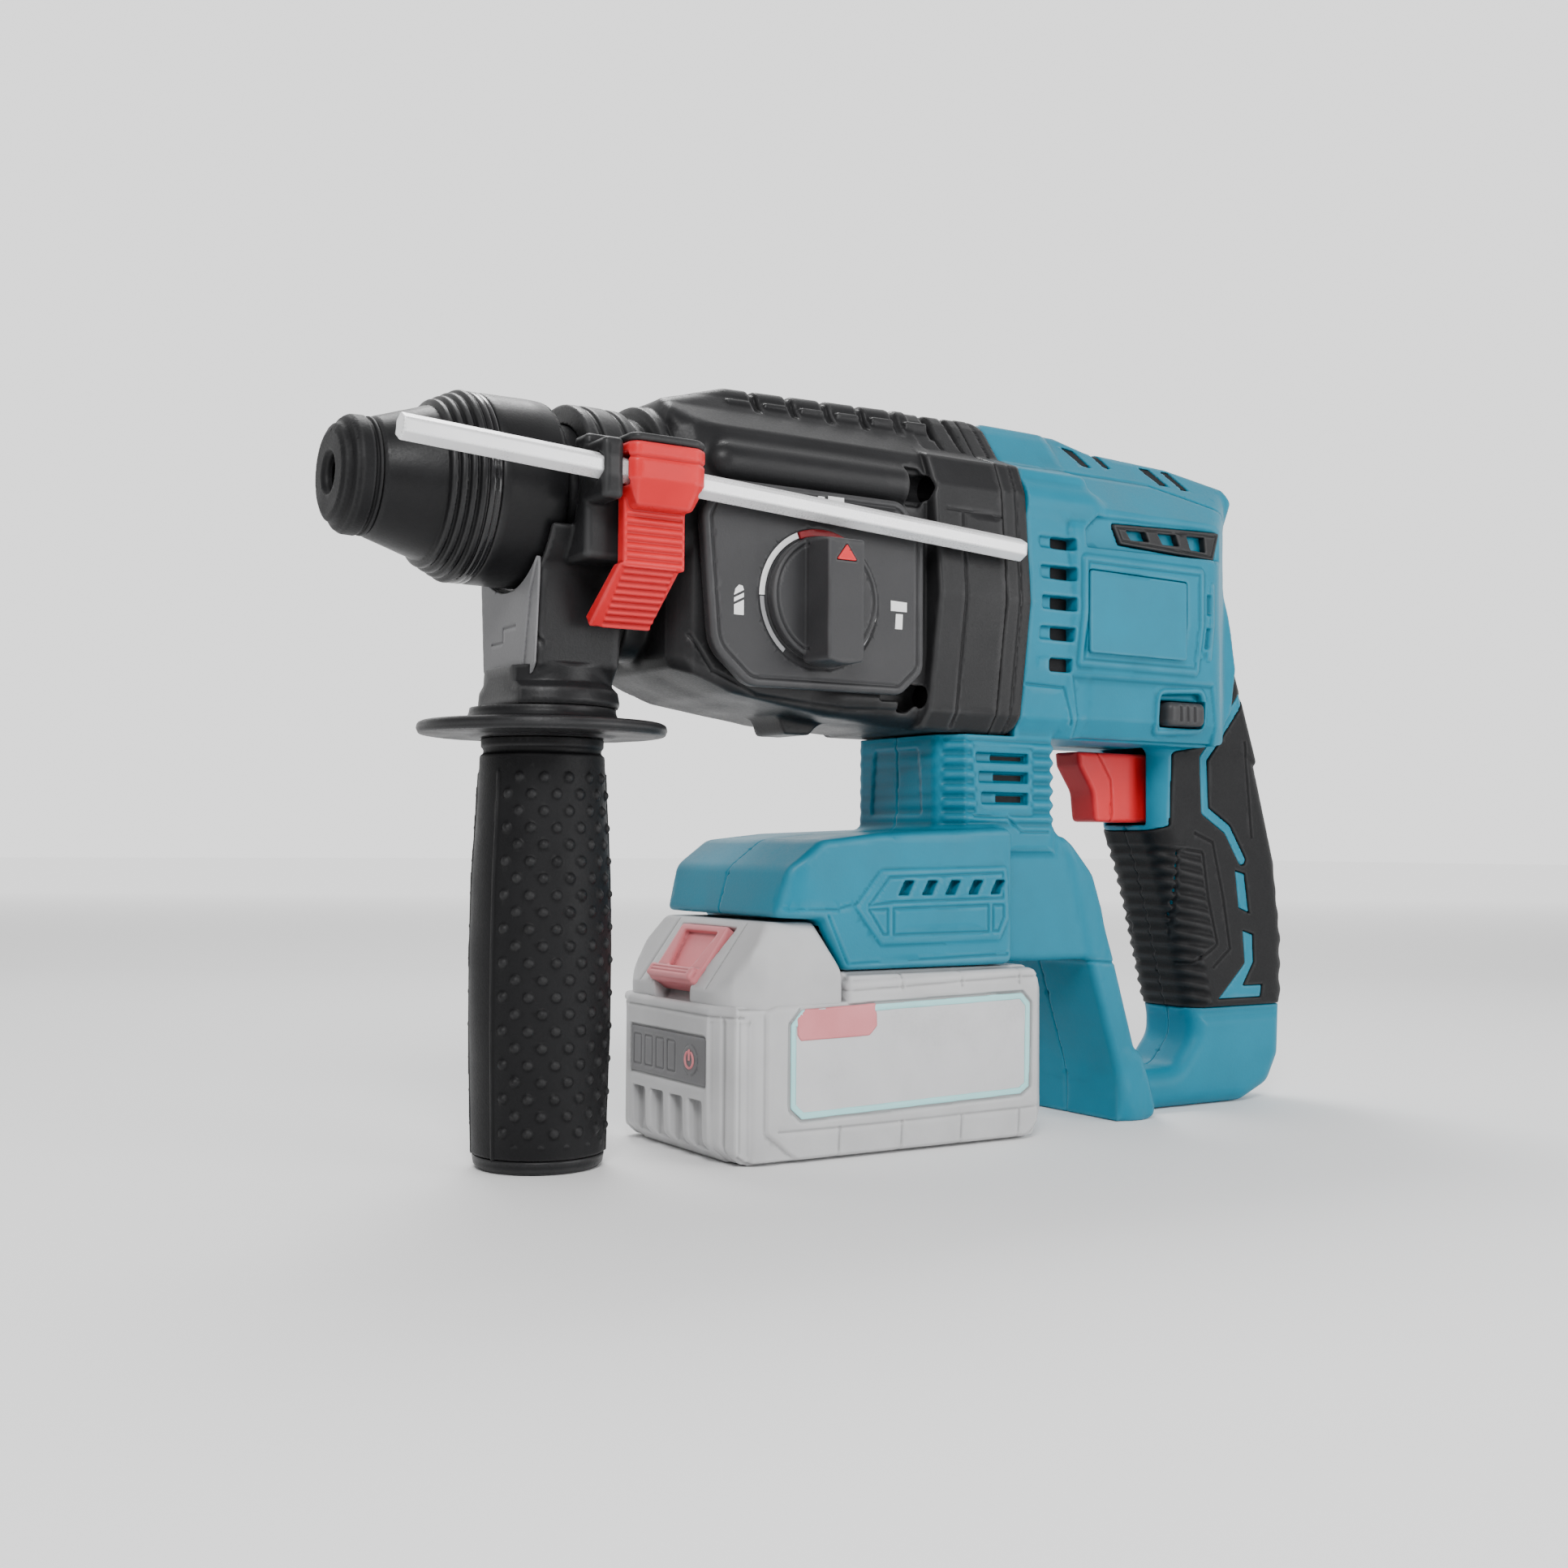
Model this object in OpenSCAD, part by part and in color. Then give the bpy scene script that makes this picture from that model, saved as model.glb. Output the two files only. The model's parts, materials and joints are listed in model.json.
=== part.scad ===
// Cordless rotary hammer with a keyless tool holder, side handle, depth rod and slide-on battery.
// Millimetres. The origin is the mouth of the tool bore, on the spindle axis. +X runs to the rear,
// +Z is up, and the mode knob is on the -Y side.

/* [Overall] */
// Height of the spindle axis above the surface the tool stands on
stand_h = 192; // [190:1:194]
// Radius of the bore that takes the drilling tool's shank
bore_r = 5; // [4.8:0.1:5.2]
// Length of the tool bore
bore_len = 52; // [48:1:52]

/* [Tool holder] */
// Radius of the lock sleeve's rear barrel
sleeve_r = 27; // [26.5:0.1:27.5]
// Radius of the spindle's rear cylinder
spindle_r = 12.5; // [12.5:0.1:12.6]
// Radius of the collar that the side handle clamps
collar_r = 21.5; // [21.4:0.1:21.6]

/* [Side handle] */
// Radius of the handle's hand guard
guard_r = 36; // [34:1:37]
// Radius of the handle's grip at its widest
side_grip_r = 20; // [18:0.5:20.5]
// Distance from the tool's mouth back to the handle's axis
side_x = 64; // [64:1:65]
// Width across the flats of the depth rod
rod_flats = 6.5; // [6:0.1:6.6]
// Downward slope of the depth rod towards the rear, in degrees
rod_tilt = 3.5; // [3.4:0.1:3.6]

/* [Body] */
// Half of the base's width over the battery
base_y = 37.5; // [37:0.5:38]
// Half of the D-handle's thickness
grip_y = 16.5; // [16:0.5:17]
// Half of the battery bay wall's width
strut_y = 27; // [26:1:28]
// Radius of the mode knob
knob_r = 18.4; // [18:0.1:18.8]

/* [Battery] */
// Length of the battery
battery_len = 116; // [115:1:117]
// Radius of one cell
cell_r = 9.1; // [9:0.1:9.2]

/* [Hidden] */
$fn = 64;
fit = 0.05;                                        // running clearance
shaft_drop = 34;                                   // spindle axis to intermediate shaft
spindle_teeth = 53;
shaft_teeth = 15;
spindle_mod = 1;                                   // tooth module of the spindle pair
wheel_teeth = 41;
motor_teeth = 9;
motor_mod = 0.9;                                   // tooth module of the motor pair
floor_z = -stand_h;
shaft_z = -shaft_drop;
motor_z = shaft_z + motor_mod * (wheel_teeth + motor_teeth) / 2;
gear_x = 92;                                       // front face of the gear case's full section
ring_x = 206;                                      // front face of the rear ring
motor_x = 216;                                     // front face of the motor housing
rod_y = -40.5;
rod_mid = [94, rod_y, -0.1];
knob_at = [136, -28];                              // x and z of the mode knob
wobble_x = 160;
battery_x = 109;
battery_top = -137.5;
badge_y = 38;

// ---- outlines ------------------------------------------------------------------------------

// Side view (x, z) of the gear case, top then bottom
case_side = [[gear_x, 31], [117, 37.8], [motor_x, 41], [motor_x, -64.6], [180, -64],
             [146, -61.5], [112, -56], [gear_x, -49]];
// One half (y, z) of the gear case's cross-section in front and at the rear
case_front_half = [[0, 42], [12, 42], [14, 34], [20, 26], [28, 22], [31, 13], [31, -40],
                   [27, -60], [22, -66], [0, -66]];
case_rear_half = [[0, 42], [8, 41], [12, 37], [20, 26], [30, 22], [33.7, 12.7], [36.2, -16.6],
                  [36.6, -22], [31.5, -58.3], [26.6, -65.1], [0, -66]];
// Side view of the motor housing
motor_side = [[motor_x, 41], [250, 40.5], [262, 36], [298, 34.5], [324, 28], [327, 22],
              [321, 14], [319, 2], [322, -10], [334, -45], [343, -71], [290, -71], [290, -66],
              [motor_x, -65]];
// Side views of the base, the bay wall with the bottom link, and the grip
base_side = [[122.5, -121], [127, -106], [138, -98.5], [160, -96], [232, -93], [240, -99],
             [250, -109], [253, -118], [253, -137], [146, -137], [138, -122]];
strut_side = [[240, -112], [246.5, -126], [250.5, -139.5], [266, -188], [269, floor_z],
              [280, floor_z], [276, -178], [270, -170], [260, -136.5], [250, -109], [240, -99]];
link_side = [[268, floor_z], [338, floor_z], [350, -186], [355, -176], [356, -160], [312, -160],
             [311, -170], [304, -178], [276, -178], [270, -170], [262, -178]];
grip_side = [[290, -66], [290, -93], [297, -112], [303, -130], [308, -145], [312, -160],
             [356, -160], [356, -132], [352, -108], [343, -71], [334, -45], [290, -45]];

function mirrored(half) =
  concat(half, [for (i = [len(half) - 1 : -1 : 0]) if (half[i][0] > 0) [-half[i][0], half[i][1]]]);
function arc(r, a0, a1, n) = [for (i = [0 : n]) let (a = a0 + (a1 - a0) * i / n) r * [cos(a), sin(a)]];

// Gear outline with straight-sided teeth; phase is the direction of the first tooth
function gear_outline(teeth, mod, phase) =
  let (pitch = 360 / teeth, root = mod * (teeth / 2 - 1.2), tip = mod * (teeth / 2 + 0.9))
  [for (i = [0 : teeth - 1], c = [[-0.24, root], [-0.09, tip], [0.09, tip], [0.24, root]])
    let (a = phase + (i + c[0]) * pitch) c[1] * [cos(a), sin(a)]];

// ---- shapes --------------------------------------------------------------------------------

module box(x, y, z) {
  translate([x[0], y[0], z[0]]) cube([x[1] - x[0], y[1] - y[0], z[1] - z[0]]);
}
// Cylinder or cone along X
module rod_x(r, x0, x1, z = 0, y = 0, r2 = undef) {
  translate([x0, y, z]) rotate([0, 90, 0])
    cylinder(r1 = r, r2 = is_undef(r2) ? r : r2, h = x1 - x0);
}
module tube_x(r_out, r_in, x0, x1, z = 0) {
  difference() {
    rod_x(r_out, x0, x1, z);
    rod_x(r_in, x0 - 1, x1 + 1, z);
  }
}
module rod_y(r, x, z, y0, y1) {
  translate([x, y1, z]) rotate([90, 0, 0]) cylinder(r = r, h = y1 - y0);
}
module rod_z(r, x, y, z0, z1, r2 = undef) {
  translate([x, y, z0]) cylinder(r1 = r, r2 = is_undef(r2) ? r : r2, h = z1 - z0);
}
// Outline in (x, z) extruded along Y
module side_slab(points, y0, y1) {
  translate([0, y1, 0]) rotate([90, 0, 0]) linear_extrude(y1 - y0) polygon(points);
}
// Outline in (y, z) extruded along X
module cross_slab(points, x0, x1) {
  translate([x0, 0, 0]) rotate([90, 0, 90]) linear_extrude(x1 - x0) polygon(points);
}
// Profile of (radius, x) turned about the X axis
module turned_x(points, z = 0) {
  translate([0, 0, z]) rotate([0, 90, 0]) rotate_extrude() polygon(points);
}
module gear_x_axis(teeth, mod, phase, x0, x1, bore, z) {
  translate([0, 0, z]) difference() {
    cross_slab(gear_outline(teeth, mod, phase), x0, x1);
    rod_x(bore, x0 - 1, x1 + 1);
  }
}
module bearing_x(r_in, r_out, x0, x1, z) {
  mid = (r_in + r_out) / 2;
  translate([0, 0, z]) difference() {
    tube_x(r_out, r_in, x0, x1);
    tube_x(mid + 1.2, mid - 1.2, x0 - 1, x0 + 0.8);
    tube_x(mid + 1.2, mid - 1.2, x1 - 0.8, x1 + 1);
  }
}
// Both mirror images across the middle plane
module both_sides() {
  children();
  mirror([0, 1, 0]) children();
}
// Points of a coil about the X axis, as rings of six points each
module coil_x(r, wire, x0, x1, turns) {
  steps = 12 * turns;
  rings = [for (i = [0 : steps], k = [0 : 5])
    let (a = 30 * i, b = 60 * k, rr = r + wire * cos(b))
    [x0 + wire + (x1 - x0 - 2 * wire) * i / steps + wire * sin(b), rr * cos(a), rr * sin(a)]];
  sides = [for (i = [0 : steps - 1], k = [0 : 5])
    [6 * i + k, 6 * i + (k + 1) % 6, 6 * i + 6 + (k + 1) % 6, 6 * i + 6 + k]];
  polyhedron(rings, concat(sides, [[for (k = [5 : -1 : 0]) k], [for (k = [0 : 5]) 6 * steps + k]]));
}

// ---- gear case -----------------------------------------------------------------------------

screw_seats = [[28, 11], [26, -54]];               // y and z of the long case screws
module case_bores() {
  rod_x(19, 66, 78);
  rod_x(14.8, 60, 70);
  rod_x(17, 77, ring_x + 1);
  rod_x(28.4, 90, 101);
  rod_x(7, 86, 120, shaft_z);
  rod_x(10.5, 91, 101, shaft_z);
  rod_x(16.4, 118, ring_x + 1, shaft_z);
  rod_x(20.5, 186, ring_x + 1, shaft_z);
  box([wobble_x - 17, wobble_x + 17], [-10, 10], [shaft_z, 0]);
  box([186, ring_x + 1], [-14, 14], [shaft_z, 0]);
  rod_y(6 + fit, knob_at[0], knob_at[1], -40, -25.5);
}
module gear_case() {
  color([0.2, 0.2, 0.21]) difference() {
    union() {
      rod_x(collar_r, 62, 86);
      rod_x(29, 84, 97);
      rod_x(12.5, 84, 97, shaft_z);
      intersection() {
        side_slab(case_side, -50, 50);
        cross_slab(mirrored(case_front_half), 96, 183);
      }
      intersection() {
        side_slab(case_side, -50, 50);
        cross_slab(mirrored(case_rear_half), 180, ring_x);
      }
    }
    case_bores();
    both_sides() for (s = screw_seats) {
      rod_x(4.2, 176, 184, s[1], s[0]);
      rod_x(2, 183, ring_x + 1, s[1], s[0]);
    }
  }
}
module gear_case_ring() {
  color([0.16, 0.16, 0.17]) difference() {
    intersection() {
      side_slab(case_side, -50, 50);
      cross_slab(mirrored(case_rear_half), ring_x, motor_x);
    }
    rod_x(11, 207, motor_x + 1, motor_z);
    rod_x(5, ring_x - 1, 208, motor_z);
    rod_x(8, ring_x - 1, 213, shaft_z);
    both_sides() for (s = screw_seats) rod_x(2, ring_x - 1, 214, s[1], s[0]);
  }
}
module gear_case_screws() {
  color([0.55, 0.55, 0.57]) both_sides() for (s = screw_seats) {
    rod_x(4, 180, 184, s[1], s[0]);
    rod_x(2, 183.5, 213.5, s[1], s[0]);
  }
}
module mode_panel() {
  panel = [[97, -50], [97, -6], [103, 1], [166, 1], [174, -6], [174, -50], [164, -55], [110, -54]];
  color([0.17, 0.17, 0.18]) difference() {
    side_slab(panel, -35.5, -31);
    rod_y(6 + fit, knob_at[0], knob_at[1], -40, -30);
  }
}
module mode_knob() {
  color([0.22, 0.22, 0.23]) difference() {
    translate([knob_at[0], 0, knob_at[1]]) union() {
      rod_y(6, 0, 0, -36, -26);
      rod_y(knob_r, 0, 0, -39.5, -35.8);
      intersection() {
        rod_y(knob_r + 1.8, 0, 0, -50, -39);
        box([-6.4, 6.4], [-51, -39], [-21, 16.4]);
      }
    }
    knob_pocket();
  }
}
module knob_pocket() {
  translate([knob_at[0], 0, knob_at[1]]) side_slab([[-3.5, 9.9], [3.5, 9.9], [0, 14.6]], -51, -49);
}
module knob_insert() {
  color([0.8, 0.15, 0.15]) intersection() {
    knob_pocket();
    box([100, 170], [-50.2, -40], [-50, 0]);
  }
}

// ---- drive ---------------------------------------------------------------------------------

module spindle_bearings() {
  color([0.7, 0.7, 0.72]) {
    bearing_x(spindle_r + fit, 19, 67, 77, 0);
    bearing_x(spindle_r + fit, 17, 130, 138, 0);
  }
}
module shaft_bearings() {
  color([0.7, 0.7, 0.72]) {
    bearing_x(4 + fit, 7, 86.3, 90.8, shaft_z);
    bearing_x(4 + fit, 8, 206.5, 213, shaft_z);
  }
}
module motor_bearings() {
  color([0.7, 0.7, 0.72]) {
    bearing_x(4 + fit, 11, 208, 215, motor_z);
    bearing_x(4 + fit, 9.5, 277, 284, motor_z);
  }
}
module motor_stator() {
  color([0.72, 0.42, 0.2]) difference() {
    rod_x(26, 228, 262, motor_z);
    rod_x(14.6, 227, 263, motor_z);
    translate([0, 0, motor_z]) for (a = [0 : 60 : 300]) rotate([a, 0, 0])
      box([227, 263], [-1, 1], [14, 22]);
  }
}
module rotor_shaft() {
  color([0.75, 0.75, 0.77]) {
    rod_x(2.5, 186, 200.5, motor_z);
    rod_x(4, 200, 285, motor_z);
  }
}
module rotor_core() {
  color([0.5, 0.5, 0.52]) tube_x(12.4, 4, 230, 260, motor_z);
}
module rotor_magnets() {
  color([0.35, 0.35, 0.37]) translate([0, 0, motor_z]) difference() {
    tube_x(14, 12.4, 231, 259);
    for (a = [0 : 45 : 135]) rotate([a, 0, 0]) box([230, 260], [-20, 20], [-0.6, 0.6]);
  }
}
module cooling_fan() {
  color([0.15, 0.15, 0.16]) translate([0, 0, motor_z]) difference() {
    union() {
      rod_x(7, 264.5, 273);
      rod_x(24, 264.5, 266);
      for (a = [0 : 40 : 320]) rotate([a, 0, 0]) box([265, 273], [-0.7, 0.7], [5, 24]);
    }
    rod_x(4, 260, 280);
  }
}
module motor_pinion() {
  color([0.65, 0.62, 0.55])
    gear_x_axis(motor_teeth, motor_mod, -90 + 180 / motor_teeth, 187.5, 198, 2.5, motor_z);
}
module intermediate_shaft() {
  color([0.75, 0.75, 0.77]) rod_x(4, 86.5, 212.5, shaft_z);
}
module intermediate_gear() {
  color([0.6, 0.58, 0.52]) gear_x_axis(wheel_teeth, motor_mod, 90, 189, 196, 4, shaft_z);
}
module intermediate_pinion() {
  color([0.6, 0.58, 0.52])
    gear_x_axis(shaft_teeth, spindle_mod, 90 + 180 / shaft_teeth, 92, 100, 4, shaft_z);
}
module wobble_hub() {
  color([0.68, 0.68, 0.7]) translate([wobble_x, 0, shaft_z]) difference() {
    intersection() {
      sphere(r = 9.7);
      rod_x(9.8, -8, 8);
    }
    rod_x(4, -12, 12);
  }
}
module wobble_ring() {
  color([0.6, 0.6, 0.63]) translate([wobble_x, 0, shaft_z]) union() {
    tube_x(14.5, 10.2, -4.5, 4.5);
    rod_z(2.2, 0, 0, 13.5, shaft_drop + 7);
    both_sides() rod_y(2.5, 0, 0, -16.2, -13.5);
  }
}
module piston() {
  color([0.74, 0.74, 0.76]) difference() {
    union() {
      rod_x(9.44, wobble_x - 44, wobble_x - 9);
      intersection() {
        rod_x(9.44, wobble_x - 10, wobble_x + 8);
        box([wobble_x - 10, wobble_x + 8], [-9.4, 9.4], [-6.5, 6.5]);
      }
    }
    rod_x(7, wobble_x - 45, wobble_x - 37);
    rod_y(5, wobble_x, 0, -12, 12);
    box([wobble_x - 5.6, wobble_x + 9], [-4, 4], [-10, 10]);
  }
}
module wrist_pin() {
  color([0.8, 0.8, 0.82]) difference() {
    rod_y(5, wobble_x, 0, -8.6, 8.6);
    rod_z(3.4, wobble_x, 0, -6, 6);
  }
}
module striker() {
  color([0.66, 0.66, 0.68]) {
    rod_x(9.42, 96, 106);
    rod_x(5.4, 88, 97);
  }
}
module impact_bolt() {
  color([0.7, 0.7, 0.72]) {
    rod_x(4.9, 53, 57);
    rod_x(6.44, 56.5, 70);
  }
}

// ---- spindle and tool holder ---------------------------------------------------------------

module spindle() {
  color([0.7, 0.7, 0.72]) difference() {
    turned_x([[bore_r, 3], [9.4, 3], [9.4, 57], [14, 57], [14, 60], [spindle_r, 60],
              [spindle_r, 140], [9.5, 140], [9.5, 79], [6.5, 79], [6.5, bore_len],
              [bore_r, bore_len]]);
    both_sides() rod_y(3.55, 22, 0, -12, -5.65);
  }
}
module spindle_gear() {
  color([0.62, 0.6, 0.54])
    gear_x_axis(spindle_teeth, spindle_mod, -90, 92.5, 99.5, spindle_r, 0);
}
module dust_cap() {
  face = [for (p = arc(2.6, 90, 5, 5)) [13.4 + p[0], 2.6 - p[1]]];
  color([0.14, 0.14, 0.15])
    turned_x(concat([[bore_r, 0]], face, [[16.3, 5.5], [16.3, 10.2], [9.4, 10.2], [9.4, 3],
                    [bore_r, 3]]));
}
module locking_balls() {
  color([0.85, 0.85, 0.87]) for (s = [-1, 1]) translate([22, s * 9.25, 0]) sphere(r = 3.5);
}
module lock_sleeve() {
  ribs = [for (i = [0 : 3], c = [[0, 0], [1.26, 0.2], [1.26, 1.8]])
    [22.3 + i * 1.1 + c[0], 26.5 + i * 2.3 + c[1]]];
  color([0.18, 0.18, 0.19])
    turned_x(concat([[14, 10.6], [16.3, 10.6], [21.4, 26.3]], ribs,
      [[sleeve_r - 0.1, 36], [25.5, 36], [25.5, 40], [sleeve_r - 0.3, 40], [sleeve_r, 55],
       [sleeve_r - 0.8, 59.6], [22.6, 59.6], [22.6, 36], [9.4 + fit, 36], [9.4 + fit, 30],
       [14, 30]]));
}
module sleeve_band() {
  color([0.1, 0.1, 0.11]) tube_x(sleeve_r - 0.2, 25.5, 36, 40);
}
module sleeve_spring() {
  color([0.6, 0.6, 0.62]) coil_x(11.6, 0.8, 36.1, 56.9, 6);
}

// ---- side handle ---------------------------------------------------------------------------

module rod_frame() {
  translate(rod_mid) rotate([0, rod_tilt, 0]) children();
}
module hex_bar(flats, x0, x1) {
  translate([x0, 0, 0]) rotate([0, 90, 0])
    cylinder(d = flats / cos(30), h = x1 - x0, $fn = 6);
}
module depth_rod() {
  color([0.9, 0.9, 0.91]) rod_frame() hex_bar(rod_flats, -88.7, 114.8);
}
plate_outline = [[-20, -21], [-17.5, -50], [-13, -55], [13, -55], [17.5, -50], [20, -21]];
module clamp_ring() {
  color([0.17, 0.17, 0.18]) difference() {
    union() {
      rod_x(27.5, 66.5, 83.4);
      cross_slab(plate_outline, 54.2, 80);
      rod_z(18.5, side_x + 1, 0, -55, -50);
      rod_z(21, side_x + 1, 0, -61, -55, 18.5);
      box([67, 83.4], [-34, -18], [-22, 12]);
      box([67.5, 75.4], [-44.6, -33.9], [-7, 9]);
    }
    rod_x(collar_r + fit, 66, 84);
    rod_x(28.3, 50, 66.5);
    lever_pegs(1.5 + fit, -28);
    rod_frame() hex_bar(rod_flats + 0.5, -40, 20);
    rod_z(4.2, side_x, 0, -62, -20);
    rod_z(7.2, side_x, 0, -34, -20);
  }
}
module clamp_plate() {
  color([0.42, 0.42, 0.43]) difference() {
    cross_slab(plate_outline, 52.6, 54.2);
    rod_x(28.3, 50, 66.5);
    rod_z(18.5, side_x + 1, 0, -56, -50);
  }
}
module clamp_bolt() {
  color([0.7, 0.7, 0.72]) difference() {
    union() {
      rod_z(4, side_x, 0, -88, -30);
      rod_z(7, side_x, 0, -34, -28.6);
    }
    rod_x(28.4, 50, 66.5);
    rod_x(27.6, 60, 84);
  }
}
module depth_lever() {
  color([0.82, 0.16, 0.17]) difference() {
    union() {
      translate([0, 0, -8]) linear_extrude(19)
        polygon([[75.7, -35.6], [75.7, -44.6], [78.7, -47.4], [93, -47.4], [96, -44.6], [96, -35.6]]);
      box([75.7, 92], [-39.6, -35.6], [-24, -8]);
      cross_slab([[-35.6, -24], [-39.6, -24], [-24.5, -41], [-21.5, -38.2]], 75.7, 87);
      lever_pegs(1.5, -29.5);
    }
    rod_frame() box([-30, 10], [-4.8, 3.6], [-4.3, 4.3]);
  }
}
// Pegs that guide the lever in the clamp
module lever_pegs(r, y_in) {
  for (z = [-16, 8]) rod_y(r, 80, z, -36, y_in);
}
module handle_guard() {
  rim = [for (p = arc(2.6, -80, 80, 5)) [guard_r - 2.6 + p[0], -67.2 + p[1]]];
  color([0.15, 0.15, 0.16]) translate([side_x, 0, 0]) rotate_extrude()
    polygon(concat([[4.3, -70], [20, -70]], rim, [[21, -64.3], [21, -61.4], [4.3, -61.4]]));
}
module handle_grip() {
  color([0.15, 0.15, 0.16]) difference() {
    translate([side_x, 0, 0]) rotate_extrude()
      polygon([[0, -70], [17.5, -70], [17.5, -74], [18.5, -90], [side_grip_r, -125],
               [side_grip_r, -150], [18.8, -188], [0, -188]]);
    rod_z(4.2, side_x, 0, -92, -69);
    nut_shape();
  }
}
module nut_shape() {
  translate([side_x, 0, -84]) cylinder(d = 15, h = 6.5, $fn = 6);
}
module handle_cap() {
  color([0.13, 0.13, 0.14]) rod_z(17.8, side_x, 0, floor_z, -188, 18.6);
}
module handle_nut() {
  color([0.7, 0.7, 0.72]) difference() {
    nut_shape();
    rod_z(4.05, side_x, 0, -85, -70);
  }
}

// ---- motor housing, base and D-handle ------------------------------------------------------

screw_spots = [[228, 26, 29], [310, 22, 20], [232, -50, 32], [300, -38, 27], [200, -110, 37],
               [150, -108, 37], [340, -178, 14], [282, -184, 14]];
module screw_pair(grow) {
  for (s = screw_spots) {
    rod_y(1.6, s[0], s[1], 3, s[2] - 4);
    rod_y(3.2 + grow, s[0], s[1], s[2] - 6.5, s[2] - (grow > 0 ? -9 : 4));
  }
}
module housing_screws() {
  color([0.3, 0.3, 0.32]) screw_pair(0);
}
module motor_shell() {
  plan = [[motor_x, -45], [motor_x, 45], [285, 45], [305, 31], [318, 22], [346, 17],
          [346, -17], [318, -22], [305, -31], [285, -45]];
  intersection() {
    side_slab(motor_side, -50, 50);
    cross_slab(mirrored(case_rear_half), motor_x, 346);
    translate([0, 0, -80]) linear_extrude(130) polygon(plan);
  }
}
module base_shell() {
  difference() {
    side_slab(base_side, -base_y, base_y);
    both_sides() box([209, 260], [strut_y, 50], [-138, -90]);
  }
}
module column_shell() {
  difference() {
    translate([0, 0, -100]) linear_extrude(40)
      polygon([[190, -21], [197, -28], [232, -28], [232, 28], [197, 28], [190, 21]]);
    box([180, motor_x], [-40, 40], [-64.6, -50]);
  }
}
module housing_body() {
  difference() {
    union() {
      motor_shell();
      column_shell();
      base_shell();
      side_slab(strut_side, -strut_y, strut_y);
      side_slab(link_side, -14, 14);
      side_slab(grip_side, -12.8, 12.8);
    }
    housing_hollows();
    overmould_outline();
    insert_shapes();
  }
}
module housing_hollows() {
  rod_x(26, 215, 264, motor_z);
  rod_x(25.5, 263, 277.1, motor_z);
  rod_x(9.5, 276, 284, motor_z);
  rod_x(4.6, 283, 286, motor_z);
  box([198, 226], [-24, 24], [-96, -60]);              // controller pocket in the column
  box([288, 331], [-10.2, 10.2], [-92.4, -60]);        // switch pocket
  box([280, 289], [-7.2, 7.2], [-92.4, -66]);          // trigger slot
  box([138, 208], [-30.5, 30.5], [-131.9, -124]);      // battery rail channel
  box([138, 208], [-23, 23], [-138, -124]);
  box([148, 174], [-16, 16], [-125, -118]);            // terminal seat
  box([278.6, 298], [-50, 50], [-59.2, -50]);          // direction bar slot
}
rubber_side = [[293, -97], [297, -112], [303, -130], [308, -145], [312, -160], [356, -160],
               [356, -132], [352, -108], [343, -71], [337, -53], [330, -53], [322, -66],
               [304, -97]];
module overmould_outline() {
  both_sides() side_slab(rubber_side, -50, -10.5);
}
module grip_overmould() {
  color([0.13, 0.13, 0.14]) intersection() {
    overmould_outline();
    box([280, 360], [-grip_y, grip_y], [-165, -40]);
  }
}
vent_outline = [[253, 6.5], [302, 8.3], [299, -0.9], [256.5, 0.8]];
vent_y = 31;                                       // depth the side vent inserts reach in to
module insert_shapes() {
  both_sides() side_slab(vent_outline, -50, -vent_y);
  box([264, 300], [-5, 5], [30, 50]);
}
module side_vent_inserts() {
  color([0.12, 0.12, 0.13]) difference() {
    intersection() {
      side_slab(vent_outline, -50, 50);
      motor_shell();
    }
    box([250, 305], [-vent_y, vent_y], [-5, 12]);
  }
}
module top_vent_insert() {
  color([0.12, 0.12, 0.13]) side_slab([[264, 30], [300, 30], [300, 34.5], [264, 36]], -5, 5);
}
module badge_plates() {
  color([0.1, 0.5, 0.62]) both_sides() box([240, 283], [36.6, badge_y], [-37, -10]);
}
module housing_left() {
  color([0.05, 0.55, 0.68]) intersection() {
    housing_body();
    box([100, 400], [-60, 0], [-200, 60]);
  }
}
module housing_right() {
  color([0.05, 0.55, 0.68]) difference() {
    intersection() {
      housing_body();
      box([100, 400], [0, 60], [-200, 60]);
    }
    screw_pair(0.2);
  }
}

// ---- controls and electrics ----------------------------------------------------------------

module trigger() {
  color([0.85, 0.2, 0.2]) side_slab([[263, -67], [264, -74], [270, -83], [271.5, -91.5],
                                     [297, -91.5], [297, -67]], -6.6, 6.6);
}
module switch_module() {
  color([0.2, 0.2, 0.22]) box([303.5, 330.5], [-9.8, 9.8], [-92, -63]);
}
module direction_bar() {
  color([0.3, 0.3, 0.31]) box([279.5, 297], [-33.5, 33.5], [-58.8, -50.4]);
}
module controller_board() {
  color([0.55, 0.57, 0.58]) box([200, 224], [-22, 22], [-94, -70]);
}
module terminal_block() {
  color([0.2, 0.2, 0.21]) {
    box([150, 172], [-15, 15], [-123.6, -118]);
    for (y = [-12, -4, 4, 12]) box([154, 170], [y - 0.5, y + 0.5], [-129.5, -123]);
  }
}

// ---- battery -------------------------------------------------------------------------------

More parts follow.
